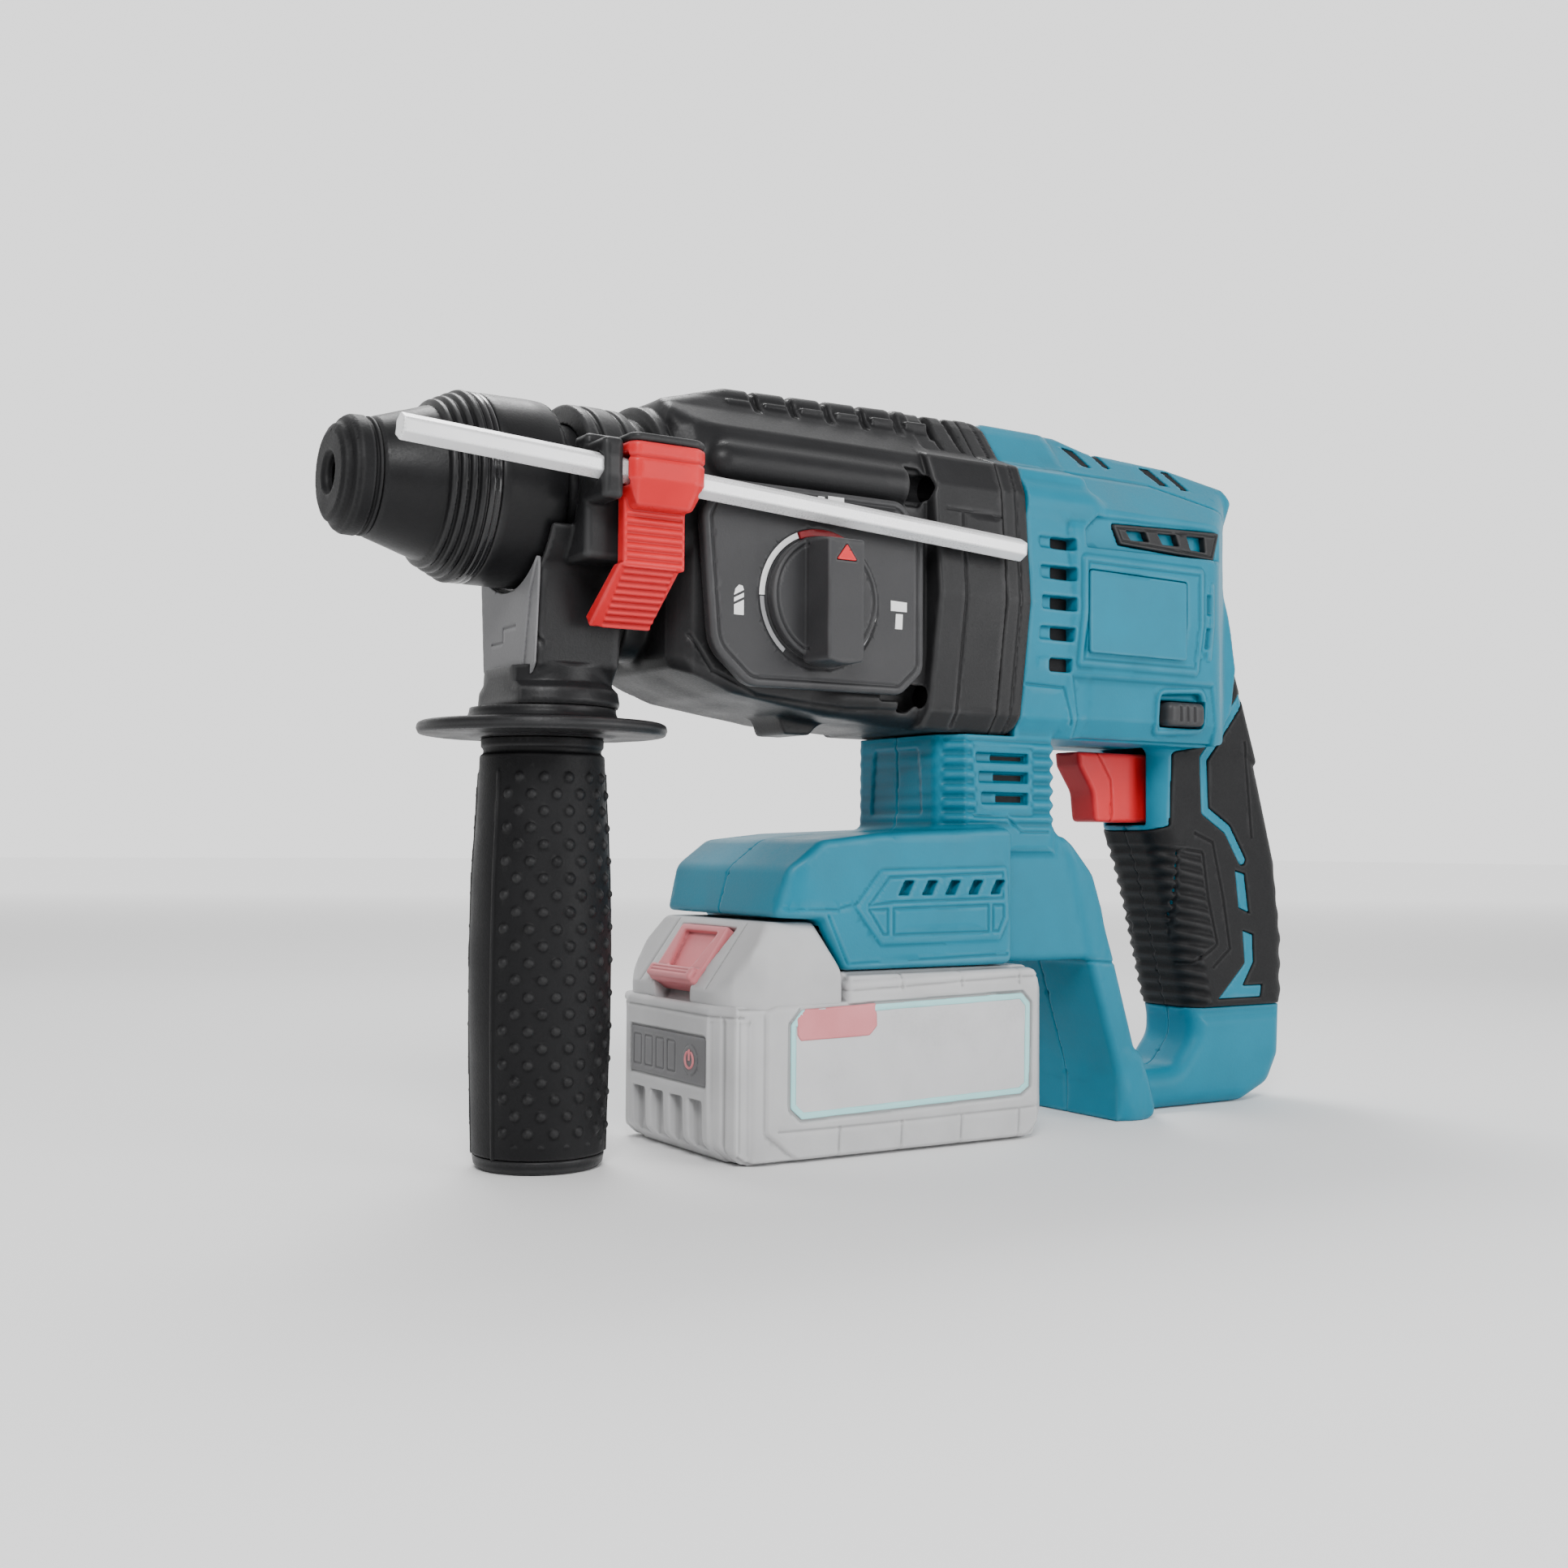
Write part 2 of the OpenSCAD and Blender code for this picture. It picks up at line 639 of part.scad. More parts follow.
battery_end = battery_x + battery_len;
module battery_plan(z0, z1) {
  c = 7;                                           // chamfer at the rear corners
  y = base_y - 0.3;
  half = [[battery_x - 4, 25], [battery_x, 35.5], [battery_x + c, y], [battery_end - c, y],
          [battery_end, y - c]];
  translate([0, 0, z0]) linear_extrude(z1 - z0)
    polygon(concat(half, [for (i = [len(half) - 1 : -1 : 0]) [half[i][0], -half[i][1]]]));
}
module battery_case() {
  color([0.72, 0.72, 0.73]) difference() {
    intersection() {
      battery_plan(floor_z, battery_top);
      side_slab([[100, floor_z - 1], [240, floor_z - 1], [240, battery_top], [146, battery_top],
                 [146, -150], [100, -150]], -50, 50);
    }
    box([battery_x + 3.5, battery_end - 3.5], [-33.5, 33.5], [floor_z + 3, -149]);
    both_sides() box([129, 215], [base_y - 0.9, base_y + 1], [-177, -147]);
  }
}
// Frame on the battery's front slope: z runs up the slope, -x points out of it
module button_frame() {
  translate([113.8, 0, -132.5]) rotate([0, 35.8, 0]) children();
}
module battery_lid() {
  block = [[109, -150], [106.5, -147], [106.5, -142.5], [121, -122.4], [136.8, -122.4],
           [145.2, -138.4], [145.2, -150]];
  color([0.76, 0.76, 0.77]) difference() {
    union() {
      side_slab(block, -base_y + 1, base_y - 1);
      box([145, 146], [-37, 37], [-150, battery_top]);
      box([140, 204], [-22, 22], [battery_top, -125.2]);
      box([140, 204], [-26, 26], [-131.2, -125.2]);
    }
    for (y = [-12, -4, 4, 12]) box([146, 205], [y - 2, y + 2], [-131, -125]);
    button_frame() box([-4, 6], [-14.3, 14.3], [-16, 9.6]);
  }
}
module battery_cells() {
  color([0.25, 0.45, 0.35]) for (i = [0 : 4], z = [-179.5, -160])
    rod_y(cell_r, battery_x + 16 + i * 21, z, -32.5, 32.5);
}
module battery_contacts() {
  color([0.8, 0.65, 0.35]) for (y = [-12, -4, 4, 12], s = [-1, 1])
    box([150, 180], [y + s * 1.6 - 0.4, y + s * 1.6 + 0.4], [-131, -126.5]);
}
module release_button() {
  color([0.85, 0.55, 0.58]) button_frame() union() {
    box([-1.2, 5.6], [-14, 14], [-11, 9.2]);
    box([-3.4, -1], [-13, 13], [-10.5, -7]);
  }
}
module battery_labels() {
  color([0.6, 0.75, 0.76]) both_sides() box([129.2, 214.8], [base_y - 0.9, base_y - 0.3], [-176.8, -147.2]);
}

// ---- what is drawn -------------------------------------------------------------------------

gear_case();
gear_case_ring();
mode_panel();
gear_case_screws();
spindle_bearings();
shaft_bearings();
motor_bearings();
motor_stator();
rotor_shaft();
rotor_core();
rotor_magnets();
cooling_fan();
motor_pinion();
intermediate_shaft();
intermediate_gear();
intermediate_pinion();
wobble_hub();
wobble_ring();
piston();
wrist_pin();
striker();
impact_bolt();
spindle();
spindle_gear();
dust_cap();
locking_balls();
lock_sleeve();
sleeve_band();
sleeve_spring();
clamp_ring();
clamp_plate();
clamp_bolt();
depth_lever();
depth_rod();
handle_guard();
handle_grip();
handle_cap();
handle_nut();
mode_knob();
knob_insert();
trigger();
switch_module();
direction_bar();
controller_board();
terminal_block();
housing_left();
housing_right();
grip_overmould();
side_vent_inserts();
top_vent_insert();
badge_plates();
housing_screws();
battery_case();
battery_lid();
battery_cells();
battery_contacts();
release_button();
battery_labels();
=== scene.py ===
import json
import math
import bmesh
import bpy
import numpy as np
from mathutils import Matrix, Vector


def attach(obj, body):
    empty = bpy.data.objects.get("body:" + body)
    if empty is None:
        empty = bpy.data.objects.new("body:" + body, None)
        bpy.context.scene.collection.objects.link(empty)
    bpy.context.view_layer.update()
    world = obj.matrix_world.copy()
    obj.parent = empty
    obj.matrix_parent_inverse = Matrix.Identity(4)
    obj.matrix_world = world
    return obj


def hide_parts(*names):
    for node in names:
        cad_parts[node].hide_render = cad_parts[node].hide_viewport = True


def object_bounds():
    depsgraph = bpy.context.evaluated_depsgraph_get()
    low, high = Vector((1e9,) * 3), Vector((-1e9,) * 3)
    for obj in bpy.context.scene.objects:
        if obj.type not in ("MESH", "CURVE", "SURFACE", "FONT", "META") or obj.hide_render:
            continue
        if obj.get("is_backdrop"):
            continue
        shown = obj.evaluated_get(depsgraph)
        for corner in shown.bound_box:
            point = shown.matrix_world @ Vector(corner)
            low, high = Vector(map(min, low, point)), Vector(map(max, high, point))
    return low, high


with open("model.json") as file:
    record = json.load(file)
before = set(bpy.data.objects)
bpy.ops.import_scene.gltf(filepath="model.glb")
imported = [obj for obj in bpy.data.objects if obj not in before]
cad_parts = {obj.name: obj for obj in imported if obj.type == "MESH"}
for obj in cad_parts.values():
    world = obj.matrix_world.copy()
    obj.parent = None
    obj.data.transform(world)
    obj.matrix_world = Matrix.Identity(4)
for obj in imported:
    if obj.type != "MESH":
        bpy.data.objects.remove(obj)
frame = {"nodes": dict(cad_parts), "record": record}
import openvdb
from mathutils import Matrix, Vector

start_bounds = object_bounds()
MM = 0.001


# ---- materials ---------------------------------------------------------------------------
def map_range(tree, value, a, b, low, high):
    """A clamped linear map of a socket's value from a..b to low..high."""
    n = tree.nodes.new("ShaderNodeMapRange")
    for i, v in enumerate((a, b, low, high)):
        n.inputs[i + 1].default_value = v
    tree.links.new(value, n.inputs[0])
    return n.outputs[0]


def material(name, colour, rough, metal=0.0, grain=0.25, scale=1400.0, wear=0.25, coat=0.0,
             brushed=False):
    """A moulded or machined surface: fine grain, uneven gloss, rubbed edges, and painted shade darkening its
    concave corners.
    """
    m = bpy.data.materials.new(name)
    m.use_nodes = True
    t = m.node_tree
    t.nodes.clear()
    new, link = t.nodes.new, t.links.new
    out, bsdf = new("ShaderNodeOutputMaterial"), new("ShaderNodeBsdfPrincipled")
    link(bsdf.outputs[0], out.inputs[0])
    bsdf.inputs["Metallic"].default_value = metal
    bsdf.inputs["Coat Weight"].default_value = coat
    bsdf.inputs["Specular IOR Level"].default_value = 0.5 if metal else 0.2
    bsdf.inputs["Coat Roughness"].default_value = 0.12
    where = new("ShaderNodeTexCoord").outputs["Object"]
    if brushed:
        stretch = new("ShaderNodeMapping")
        stretch.inputs["Scale"].default_value = (1.0, 0.06, 0.06)
        link(where, stretch.inputs[0])
        where = stretch.outputs[0]

    def noise(size, detail, at=None):
        n = new("ShaderNodeTexNoise")
        n.inputs["Scale"].default_value = size
        n.inputs["Detail"].default_value = detail
        link(at or where, n.inputs["Vector"])
        return n.outputs["Fac"]

    def ramp(value, *ends):
        return map_range(t, value, *ends)

    def times(a, b, how="MULTIPLY"):
        n = new("ShaderNodeMath")
        n.operation = how
        link(a, n.inputs[0])
        link(b, n.inputs[1])
        return n.outputs[0]

    cloud = noise(55.0, 4.0)
    fine = noise(scale, 3.0)
    shape = new("ShaderNodeAttribute")
    shape.attribute_name = "curve"
    edge = times(ramp(shape.outputs["Fac"], 0.12, 0.9, 0.0, 1.0), ramp(cloud, 0.35, 0.7, 0.35, 1.0))
    corner = ramp(shape.outputs["Fac"], -0.9, -0.1, 1.0, 0.0)

    def mix(fac, a, b):
        n = new("ShaderNodeMix")
        n.data_type = "RGBA"
        link(fac, n.inputs["Factor"])
        for i, v in ((6, a), (7, b)):
            if isinstance(v, tuple):
                n.inputs[i].default_value = (*v, 1.0)
            else:
                link(v, n.inputs[i])
        return n.outputs[2]

    dark = tuple(c * 0.91 for c in colour)
    light = tuple(min(1.0, c * 1.07 + 0.002) for c in colour)
    worn = tuple(min(1.0, c + (0.5 - 0.35 * c) * wear) for c in colour)
    # painted shade: concave corners are darkened to 0.45 of the colour to stand in for the shade that falls
    # there
    corner_shade = tuple(c * 0.45 for c in colour)
    body = mix(ramp(cloud, 0.3, 0.7, 0.0, 1.0), dark, light)
    body = mix(ramp(edge, 0.0, 1.0, 0.0, 0.6), body, worn)
    body = mix(ramp(corner, 0.0, 1.0, 0.0, 0.55), body, corner_shade)
    link(body, bsdf.inputs["Base Color"])
    gloss = times(ramp(cloud, 0.3, 0.7, rough - 0.07, rough + 0.07), ramp(fine, 0.3, 0.7, -0.04, 0.04), "ADD")
    link(times(gloss, ramp(edge, 0.0, 1.0, 0.0, -0.06), "ADD"), bsdf.inputs["Roughness"])
    bump = new("ShaderNodeBump")
    bump.inputs["Strength"].default_value = grain
    bump.inputs["Distance"].default_value = 0.00012
    link(fine, bump.inputs["Height"])
    link(bump.outputs[0], bsdf.inputs["Normal"])
    return m


LOOKS = {
    "black_plastic": dict(colour=(0.013, 0.013, 0.014), rough=0.42, grain=0.35, wear=0.10),
    "black_rubber": dict(colour=(0.006, 0.006, 0.0068), rough=0.56, grain=0.55, wear=0.06),
    "dark_gloss_plastic": dict(colour=(0.006, 0.006, 0.007), rough=0.22, grain=0.1, wear=0.05, coat=0.4),
    "grey_plastic": dict(colour=(0.155, 0.155, 0.16), rough=0.45, grain=0.3, wear=0.12),
    "teal_plastic": dict(colour=(0.0, 0.175, 0.27), rough=0.45, grain=0.28, wear=0.12),
    "red_plastic": dict(colour=(0.64, 0.014, 0.020), rough=0.38, grain=0.25, wear=0.12),
    "pale_plastic": dict(colour=(0.50, 0.50, 0.505), rough=0.46, grain=0.3, wear=0.18),
    "pink_plastic": dict(colour=(0.66, 0.20, 0.22), rough=0.42, grain=0.25, wear=0.15),
    "label_film": dict(colour=(0.58, 0.58, 0.59), rough=0.35, grain=0.08, wear=0.1),
    "bright_steel": dict(colour=(0.86, 0.86, 0.87), rough=0.30, metal=0.25, grain=0.12, wear=0.05),
    "hardened_steel": dict(colour=(0.42, 0.41, 0.39), rough=0.33, metal=1.0, grain=0.2, brushed=True),
    "lamination_steel": dict(colour=(0.33, 0.33, 0.34), rough=0.5, metal=1.0, grain=0.4, brushed=True),
    "copper_winding": dict(colour=(0.62, 0.27, 0.12), rough=0.36, metal=1.0, grain=0.6, scale=2200.0),
    "potted_board": dict(colour=(0.05, 0.16, 0.09), rough=0.4, grain=0.5, scale=700.0),
    "cell_wrap": dict(colour=(0.05, 0.28, 0.16), rough=0.35, grain=0.1, coat=0.3),
    "contact_brass": dict(colour=(0.72, 0.52, 0.22), rough=0.3, metal=1.0, grain=0.15, brushed=True),
    "print_white": dict(colour=(0.80, 0.80, 0.80), rough=0.5, grain=0.15, wear=0.05),
    "print_grey": dict(colour=(0.30, 0.30, 0.31), rough=0.5, grain=0.15, wear=0.05),
    "label_cyan": dict(colour=(0.38, 0.74, 0.75), rough=0.4, grain=0.1, wear=0.1),
    "shadow_black": dict(colour=(0.008, 0.008, 0.009), rough=0.7, grain=0.4, wear=0.02),
    "panel_plastic": dict(colour=(0.034, 0.034, 0.036), rough=0.42, grain=0.3, wear=0.1),
    "sleeve_plastic": dict(colour=(0.007, 0.007, 0.0078), rough=0.40, grain=0.3, wear=0.08),
    "deep_red": dict(colour=(0.24, 0.004, 0.009), rough=0.42, grain=0.25, wear=0.08),
    "oxide_steel": dict(colour=(0.03, 0.029, 0.03), rough=0.38, metal=1.0, grain=0.2, wear=0.1, brushed=True),
}
MATS = {name: material(name, **look) for name, look in LOOKS.items()}
record_slot = {s["node"]: s["material_slot"] for s in frame["record"]["subparts"]}


# ---- shapes as signed distances, in millimetres ------------------------------------------
class Field:
    def __init__(self, lo, hi, step):
        self.lo, self.step = np.array(lo, np.float32), step
        x, y, z = (np.arange(a, b + step, step, dtype=np.float32) for a, b in zip(lo, hi))
        self.x, self.y, self.z = x[:, None, None], y[None, :, None], z[None, None, :]
        self.shape = (len(x), len(y), len(z))


def both(a, b, r=0.0):
    """Where both shapes are, with its edge rounded by r."""
    if r <= 0:
        return np.maximum(a, b)
    return np.minimum(np.maximum(a, b), -r) + np.hypot(np.maximum(a + r, 0), np.maximum(b + r, 0))


def join(a, b, r=0.0):
    """Either shape, with a fillet of r between them."""
    if r <= 0:
        return np.minimum(a, b)
    return np.maximum(np.minimum(a, b), r) - np.hypot(np.maximum(r - a, 0), np.maximum(r - b, 0))


def cut(a, b, r=0.0):
    return both(a, -b, r)


def span(c, lo, hi):
    return np.maximum(lo - c, c - hi)


hyp = np.hypot


def box(q, r=0.0):
    """A box with edges rounded by r; q is how far a point is past its faces, plus r, on each axis."""
    far = np.sqrt(sum(np.maximum(c, 0) ** 2 for c in q))
    return far + np.minimum(np.maximum(np.maximum(q[0], q[1]), q[2]), 0) - r


def cube(f, x, y, z, r=0.0):
    axes = ((f.x, x), (f.y, y), (f.z, z))
    return box([abs(c - (a[0] + a[1]) / 2) - (a[1] - a[0]) / 2 + r for c, a in axes], r)


def outline(points, u, v):
    """Signed distance to a closed outline."""
    p = [tuple(float(c) for c in q) for q in points]
    best, inside = 1e9, np.zeros(np.broadcast(u, v).shape, bool)
    for (ax, ay), (bx, by) in zip(p, p[1:] + p[:1]):
        ex, ey = bx - ax, by - ay
        t = np.clip(((u - ax) * ex + (v - ay) * ey) / (ex * ex + ey * ey + 1e-9), 0, 1)
        best = np.minimum(best, (u - ax - t * ex) ** 2 + (v - ay - t * ey) ** 2)
        if ay != by:
            inside ^= ((ay > v) != (by > v)) & (u < (bx - ax) * (v - ay) / (by - ay) + ax)
    d = np.sqrt(best)
    return np.where(inside, -d, d).astype(np.float32)


def side_outline(f, points):
    """The same seen from the side, along y."""
    return outline(points, f.x, f.z)


def side_shape(f, points, r):
    """The same from the side, with rounded corners."""
    return outline(soft(points, r), f.x, f.z)


def front_shape(f, points, r):
    """The same from the front, along x."""
    return outline(soft(points, r), f.y, f.z)


def path(points, u, v):
    """Distance to an open line."""
    best = 1e9
    for (ax, ay), (bx, by) in zip(points, points[1:]):
        ex, ey = bx - ax, by - ay
        t = np.clip(((u - ax) * ex + (v - ay) * ey) / (ex * ex + ey * ey + 1e-9), 0, 1)
        best = np.minimum(best, (u - ax - t * ex) ** 2 + (v - ay - t * ey) ** 2)
    return np.sqrt(best)


def side_path(f, points):
    return path(points, f.x, f.z)


def soft(points, r):
    """A closed outline with rounded corners; a third number overrides a point's radius."""
    out, n = [], len(points)
    for i in range(n):
        a, b, c = (np.array(points[(i + k) % n][:2], float) for k in (-1, 0, 1))
        rr = points[i][2] if len(points[i]) > 2 else r
        u, v = a - b, c - b
        lu, lv = np.linalg.norm(u), np.linalg.norm(v)
        half = math.acos(max(-1, min(1, u @ v / lu / lv))) / 2
        t = min(rr / max(math.tan(half), 1e-3), 0.45 * lu, 0.45 * lv)
        if t < 0.1:
            out.append(b)
            continue
        p, q = b + u / lu * t, b + v / lv * t
        out += [(1 - s) ** 2 * p + 2 * s * (1 - s) * b + s * s * q for s in (0, 0.2, 0.4, 0.6, 0.8, 1)]
    return out


def inside(d, width=0.6):
    """1 inside a shape and 0 outside, with a ramp of that width."""
    return np.clip(0.5 - d / width, 0, 1)


def scored(f, points, half, depth, beyond, width=0.5):
    """Depth of a line scored into the sides, seen from the side, further than `beyond` from the middle."""
    return depth * inside(side_path(f, points) - half, width) * inside(beyond - abs(f.y))


def sample(d, p):
    p = np.clip(p, 0, np.array(d.shape) - 1.001)
    i = p.astype(np.int32)
    t = p - i
    total = 0
    for c in range(8):
        o = [(c >> k) & 1 for k in range(3)]
        w = np.prod([t[:, k] if o[k] else 1 - t[:, k] for k in range(3)], axis=0)
        total = total + w * d[i[:, 0] + o[0], i[:, 1] + o[1], i[:, 2] + o[2]]
    return total


def mesh_object(name, co, faces, normals=None, curve=None):
    me = bpy.data.meshes.new(name)
    loops = np.concatenate([f.ravel() for f in faces]).astype(np.int32)
    starts, at = [], 0
    for f in faces:
        starts.append(at + np.arange(len(f)) * f.shape[1])
        at += f.size
    me.vertices.add(len(co))
    me.vertices.foreach_set("co", np.asarray(co, np.float32).ravel())
    me.loops.add(len(loops))
    me.loops.foreach_set("vertex_index", loops)
    starts = np.concatenate(starts).astype(np.int32)
    me.polygons.add(len(starts))
    me.polygons.foreach_set("loop_start", starts)
    me.update(calc_edges=True)
    me.validate()
    me.shade_smooth()
    if curve is not None:
        a = me.attributes.new("curve", "FLOAT", "POINT")
        a.data.foreach_set("value", curve.astype(np.float32))
    if normals is not None:
        me.normals_split_custom_set_from_vertices(normals.astype(np.float32))
    ob = bpy.data.objects.new(name, me)
    bpy.context.scene.collection.objects.link(ob)
    return ob


def finish_piece(ob, mat, body, nodes):
    ob.data.materials.append(MATS[mat])
    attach(ob, body)
    if nodes:
        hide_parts(*nodes)
    return ob


def solid(name, f, d, mat, body="tool", nodes=(), pair=False, flip=False, place=None):
    """Meshes the field. A pair also gets the mirror image of its left piece across the middle
    plane, and flip makes the piece itself that mirror image."""
    band = 3 * f.step
    d = np.clip(np.broadcast_to(d, f.shape), -band, band).astype(np.float32)
    d = np.pad(d, 1, constant_values=band)
    g = openvdb.FloatGrid()
    g.background = band
    g.copyFromArray(d)
    pts, tris, quads = g.convertToPolygons(isovalue=0.0, adaptivity=0.03)
    eye = np.eye(3)
    normal = np.stack([sample(d, pts + 0.8 * e) - sample(d, pts - 0.8 * e) for e in eye], 1)
    normal /= np.linalg.norm(normal, axis=1)[:, None] + 1e-9
    h = 1.6
    lap = sum(sample(d, pts + h * e) + sample(d, pts - h * e) for e in eye) - 6 * sample(d, pts)
    curve = np.clip(lap / (h * f.step) ** 2, -1, 1)
    faces = [a for a in (tris, quads) if len(a)]
    a = faces[0]
    turn = np.cross(pts[a[:, 1]] - pts[a[:, 0]], pts[a[:, 2]] - pts[a[:, 0]])
    if (turn * normal[a[:, 0]]).sum() < 0:
        faces = [b[:, ::-1] for b in faces]
    co = (f.lo + (pts - 1) * f.step) * MM
    for mirror in (False, True) if pair else (flip,):
        c, n, fs = co.copy(), normal.copy(), faces
        if mirror:
            c[:, 1] *= -1
            n[:, 1] *= -1
            fs = [b[:, ::-1] for b in faces]
        if place is not None:
            rot = np.array(place.to_3x3())
            c = c @ rot.T + np.array(place.translation)
            n = n @ rot.T
        label = name.replace("left", "right") if pair and mirror else name
        finish_piece(mesh_object(label, c, fs, n, curve), mat, body, nodes)


def prints(name, shapes, y, mat, body, depth=0.25):
    """Flat printed marks: each shape is a list of strips of (x, z) points, as a thin slab at y."""
    co, quads = [], []
    for strip in shapes:
        n, at = len(strip), len(co)
        for dy in (0, depth):
            co += [(px * MM, (y + dy) * MM, pz * MM) for px, pz in strip]
        for i in range(n // 2 - 1):
            a, b, c, e = i, i + 1, n - 2 - i, n - 1 - i
            quads.append([at + a, at + b, at + c, at + e])
            quads.append([at + n + e, at + n + c, at + n + b, at + n + a])
        for i in range(n):
            j = (i + 1) % n
            quads.append([at + j, at + i, at + n + i, at + n + j])
    ob = mesh_object(name, np.array(co), [np.array(quads)])
    bm = bmesh.new()
    bm.from_mesh(ob.data)
    bmesh.ops.recalc_face_normals(bm, faces=bm.faces)
    bm.to_mesh(ob.data)
    bm.free()
    ob.data.shade_flat()
    return finish_piece(ob, mat, body, ())


def arc_strip(cx, cz, r, w, a0, a1, n=40):
    """A curved band; angles in degrees from +x towards +z."""
    t = np.radians(np.linspace(a0, a1, n))
    outer = [(cx + (r + w / 2) * math.cos(a), cz + (r + w / 2) * math.sin(a)) for a in t]
    inner = [(cx + (r - w / 2) * math.cos(a), cz + (r - w / 2) * math.sin(a)) for a in t]
    return outer + inner[::-1]


def moved(x, z, strips):
    return [[(x + px, z + pz) for px, pz in strip] for strip in strips]


def turned_x(f, profile, y=0.0, z=0.0):
    return outline(profile, f.x, hyp(f.y - y, f.z - z))


def turned_z(f, profile, x=0.0, y=0.0):
    """Profile of (radius, z)."""
    return outline(profile, hyp(f.x - x, f.y - y), f.z)


def rod_x(f, r, x0, x1, z=0.0, y=0.0, e=0.0):
    return both(hyp(f.y - y, f.z - z) - r, span(f.x, x0, x1), e)


def rod_y(f, r, x, z, y0, y1, e=0.0):
    return both(hyp(f.x - x, f.z - z) - r, span(f.y, y0, y1), e)


def rod_z(f, r, x, y, z0, z1, e=0.0):
    return both(hyp(f.x - x, f.y - y) - r, span(f.z, z0, z1), e)


# ---- tool holder -------------------------------------------------------------------------
f = Field((-1, -18.5, -18.5), (11.5, 18.5, 18.5), 0.3)
d = turned_x(f, [(0, 6.2), (0, 11.4), (0.9, 13.2), (2.5, 14.0), (3.3, 15.5), (4.8, 16.3), (8.0, 16.4),
    (8.5, 15.6), (9.1, 15.6), (9.5, 16.3), (10.2, 16.3), (10.2, 9.5), (3, 9.5), (3, 5.05), (1.4, 5.05)])
d = both(d, turned_x(f, [(-1, 5.05), (-1, 30), (12, 30), (12, 5.05)]), 0.3)
solid("dust_cap_skin", f, d, "black_rubber", "spindle_unit", ("dust_cap",))

ribs = []
for i in range(4):
    x0, r0 = 26.7 + 2.35 * i, 22.2 + 1.17 * i
    ribs += [(x0, r0), (x0 + 0.3, r0 + 1.0), (x0 + 1.5, r0 + 1.2), (x0 + 1.75, r0 + 0.3)]
f = Field((9.5, -28.5, -28.5), (61, 28.5, 28.5), 0.4)
d = turned_x(f, [(10.6, 14), (10.6, 15.9), (11.4, 16.5), (25.6, 21.2), (26.5, 21.4)] + ribs + [(36, 26.7),
    (36, 25.5), (40, 25.5), (40, 26.5), (40.8, 26.8), (55, 27), (58.6, 26.7), (59.6, 25.9), (59.6, 22.65),
    (35.4, 22.65), (35.4, 9.5), (30, 9.5), (30, 14)])
solid("lock_sleeve_skin", f, d - 0.1, "sleeve_plastic", "sleeve_unit", ("lock_sleeve",))
f = Field((35, -28.5, -28.5), (41, 28.5, 28.5), 0.3)
d = turned_x(f, [(36.2, 25.7), (36.2, 26.5), (36.8, 26.9), (37.7, 26.9), (38, 26.5), (38.3, 26.9),
    (39.3, 26.9), (39.8, 26.5), (39.8, 25.7)])
solid("sleeve_band_skin", f, d, "dark_gloss_plastic", "sleeve_unit", ("sleeve_band",))

# ---- clamp, lever and rod ----------------------------------------------------------------
handle_x = 64
rod_mid, tilt = (94.0, -40.5, -0.1), math.radians(3.5)
rod_place = Matrix.Translation([c * MM for c in rod_mid]) @ Matrix.Rotation(tilt, 4, "Y")


def above_rod(f):
    """Height above the middle line of the tilted rod."""
    return (f.x - rod_mid[0]) * math.sin(tilt) + (f.z - rod_mid[2]) * math.cos(tilt)


def hexagon(y, z, flats):
    return np.maximum(abs(y), abs(y) / 2 + abs(z) * math.cos(math.pi / 6)) - flats / 2


plate = soft([(-20, -18), (-20, -24), (-17.5, -50), (-13, -55), (13, -55), (17.5, -50), (20, -24), (20, -18)],
    2)
f = Field((50, -46, -62), (85, 29, 29), 0.45)
ring = turned_x(f, [(66.6, 21.4), (66.6, 26.6), (67.4, 27.4), (70, 27.5), (70.3, 26.7), (71.5, 26.7),
    (71.8, 27.6), (77.8, 27.6), (78.1, 26.7), (79.3, 26.7), (79.6, 27.5), (82.4, 27.4), (83.3, 26.6),
    (83.3, 21.4)])
body = both(outline(plate, f.y, f.z), span(f.x, 54.3, 80), 1.5)
neck = turned_z(f, [(0, -61.2), (20.6, -61.2), (21.2, -60), (20.6, -56.6), (18.6, -54.6), (18.2, -50),
    (0, -50)], 65)
box_near = cube(f, (60.8, 83.4), (-34, -16), (-22, 12.4), 1.6)
cheek = cube(f, (60.8, 67.0), (-45, -30), (-7.2, 9.4), 1.5)
d = join(join(join(ring, body, 2), neck, 1.5), join(box_near, cheek, 1), 1)
wedge = outline([(-30, -12), (30, -12), (20, -44), (-20, -44)], f.y, f.z)
d = join(d, both(turned_x(f, [(54.3, 22), (54.3, 30), (80, 30), (80, 22)]), wedge, 1), 1)
d = cut(d, rod_x(f, 28.4, 48, 66.5), 0.4)
d = cut(d, rod_x(f, 21.55, 60, 90), 0.4)
d = cut(d, rod_z(f, 4.3, handle_x, 0, -64, -20))
for z in (-16, 8):
    d = cut(d, rod_y(f, 1.65, 80, z, -37, -26.8))
d = cut(d, hexagon(f.y - rod_mid[1], above_rod(f), 7.1), 0.4)
groove = abs(path([(-19, -46), (-12, -34), (-12, -20)], f.y, f.z)) - 0.5
d = d + 0.5 * inside(groove) * inside(span(f.x, 50, 56))
solid("clamp_ring_skin", f, d, "black_plastic", "clamp_unit", ("clamp_ring",))

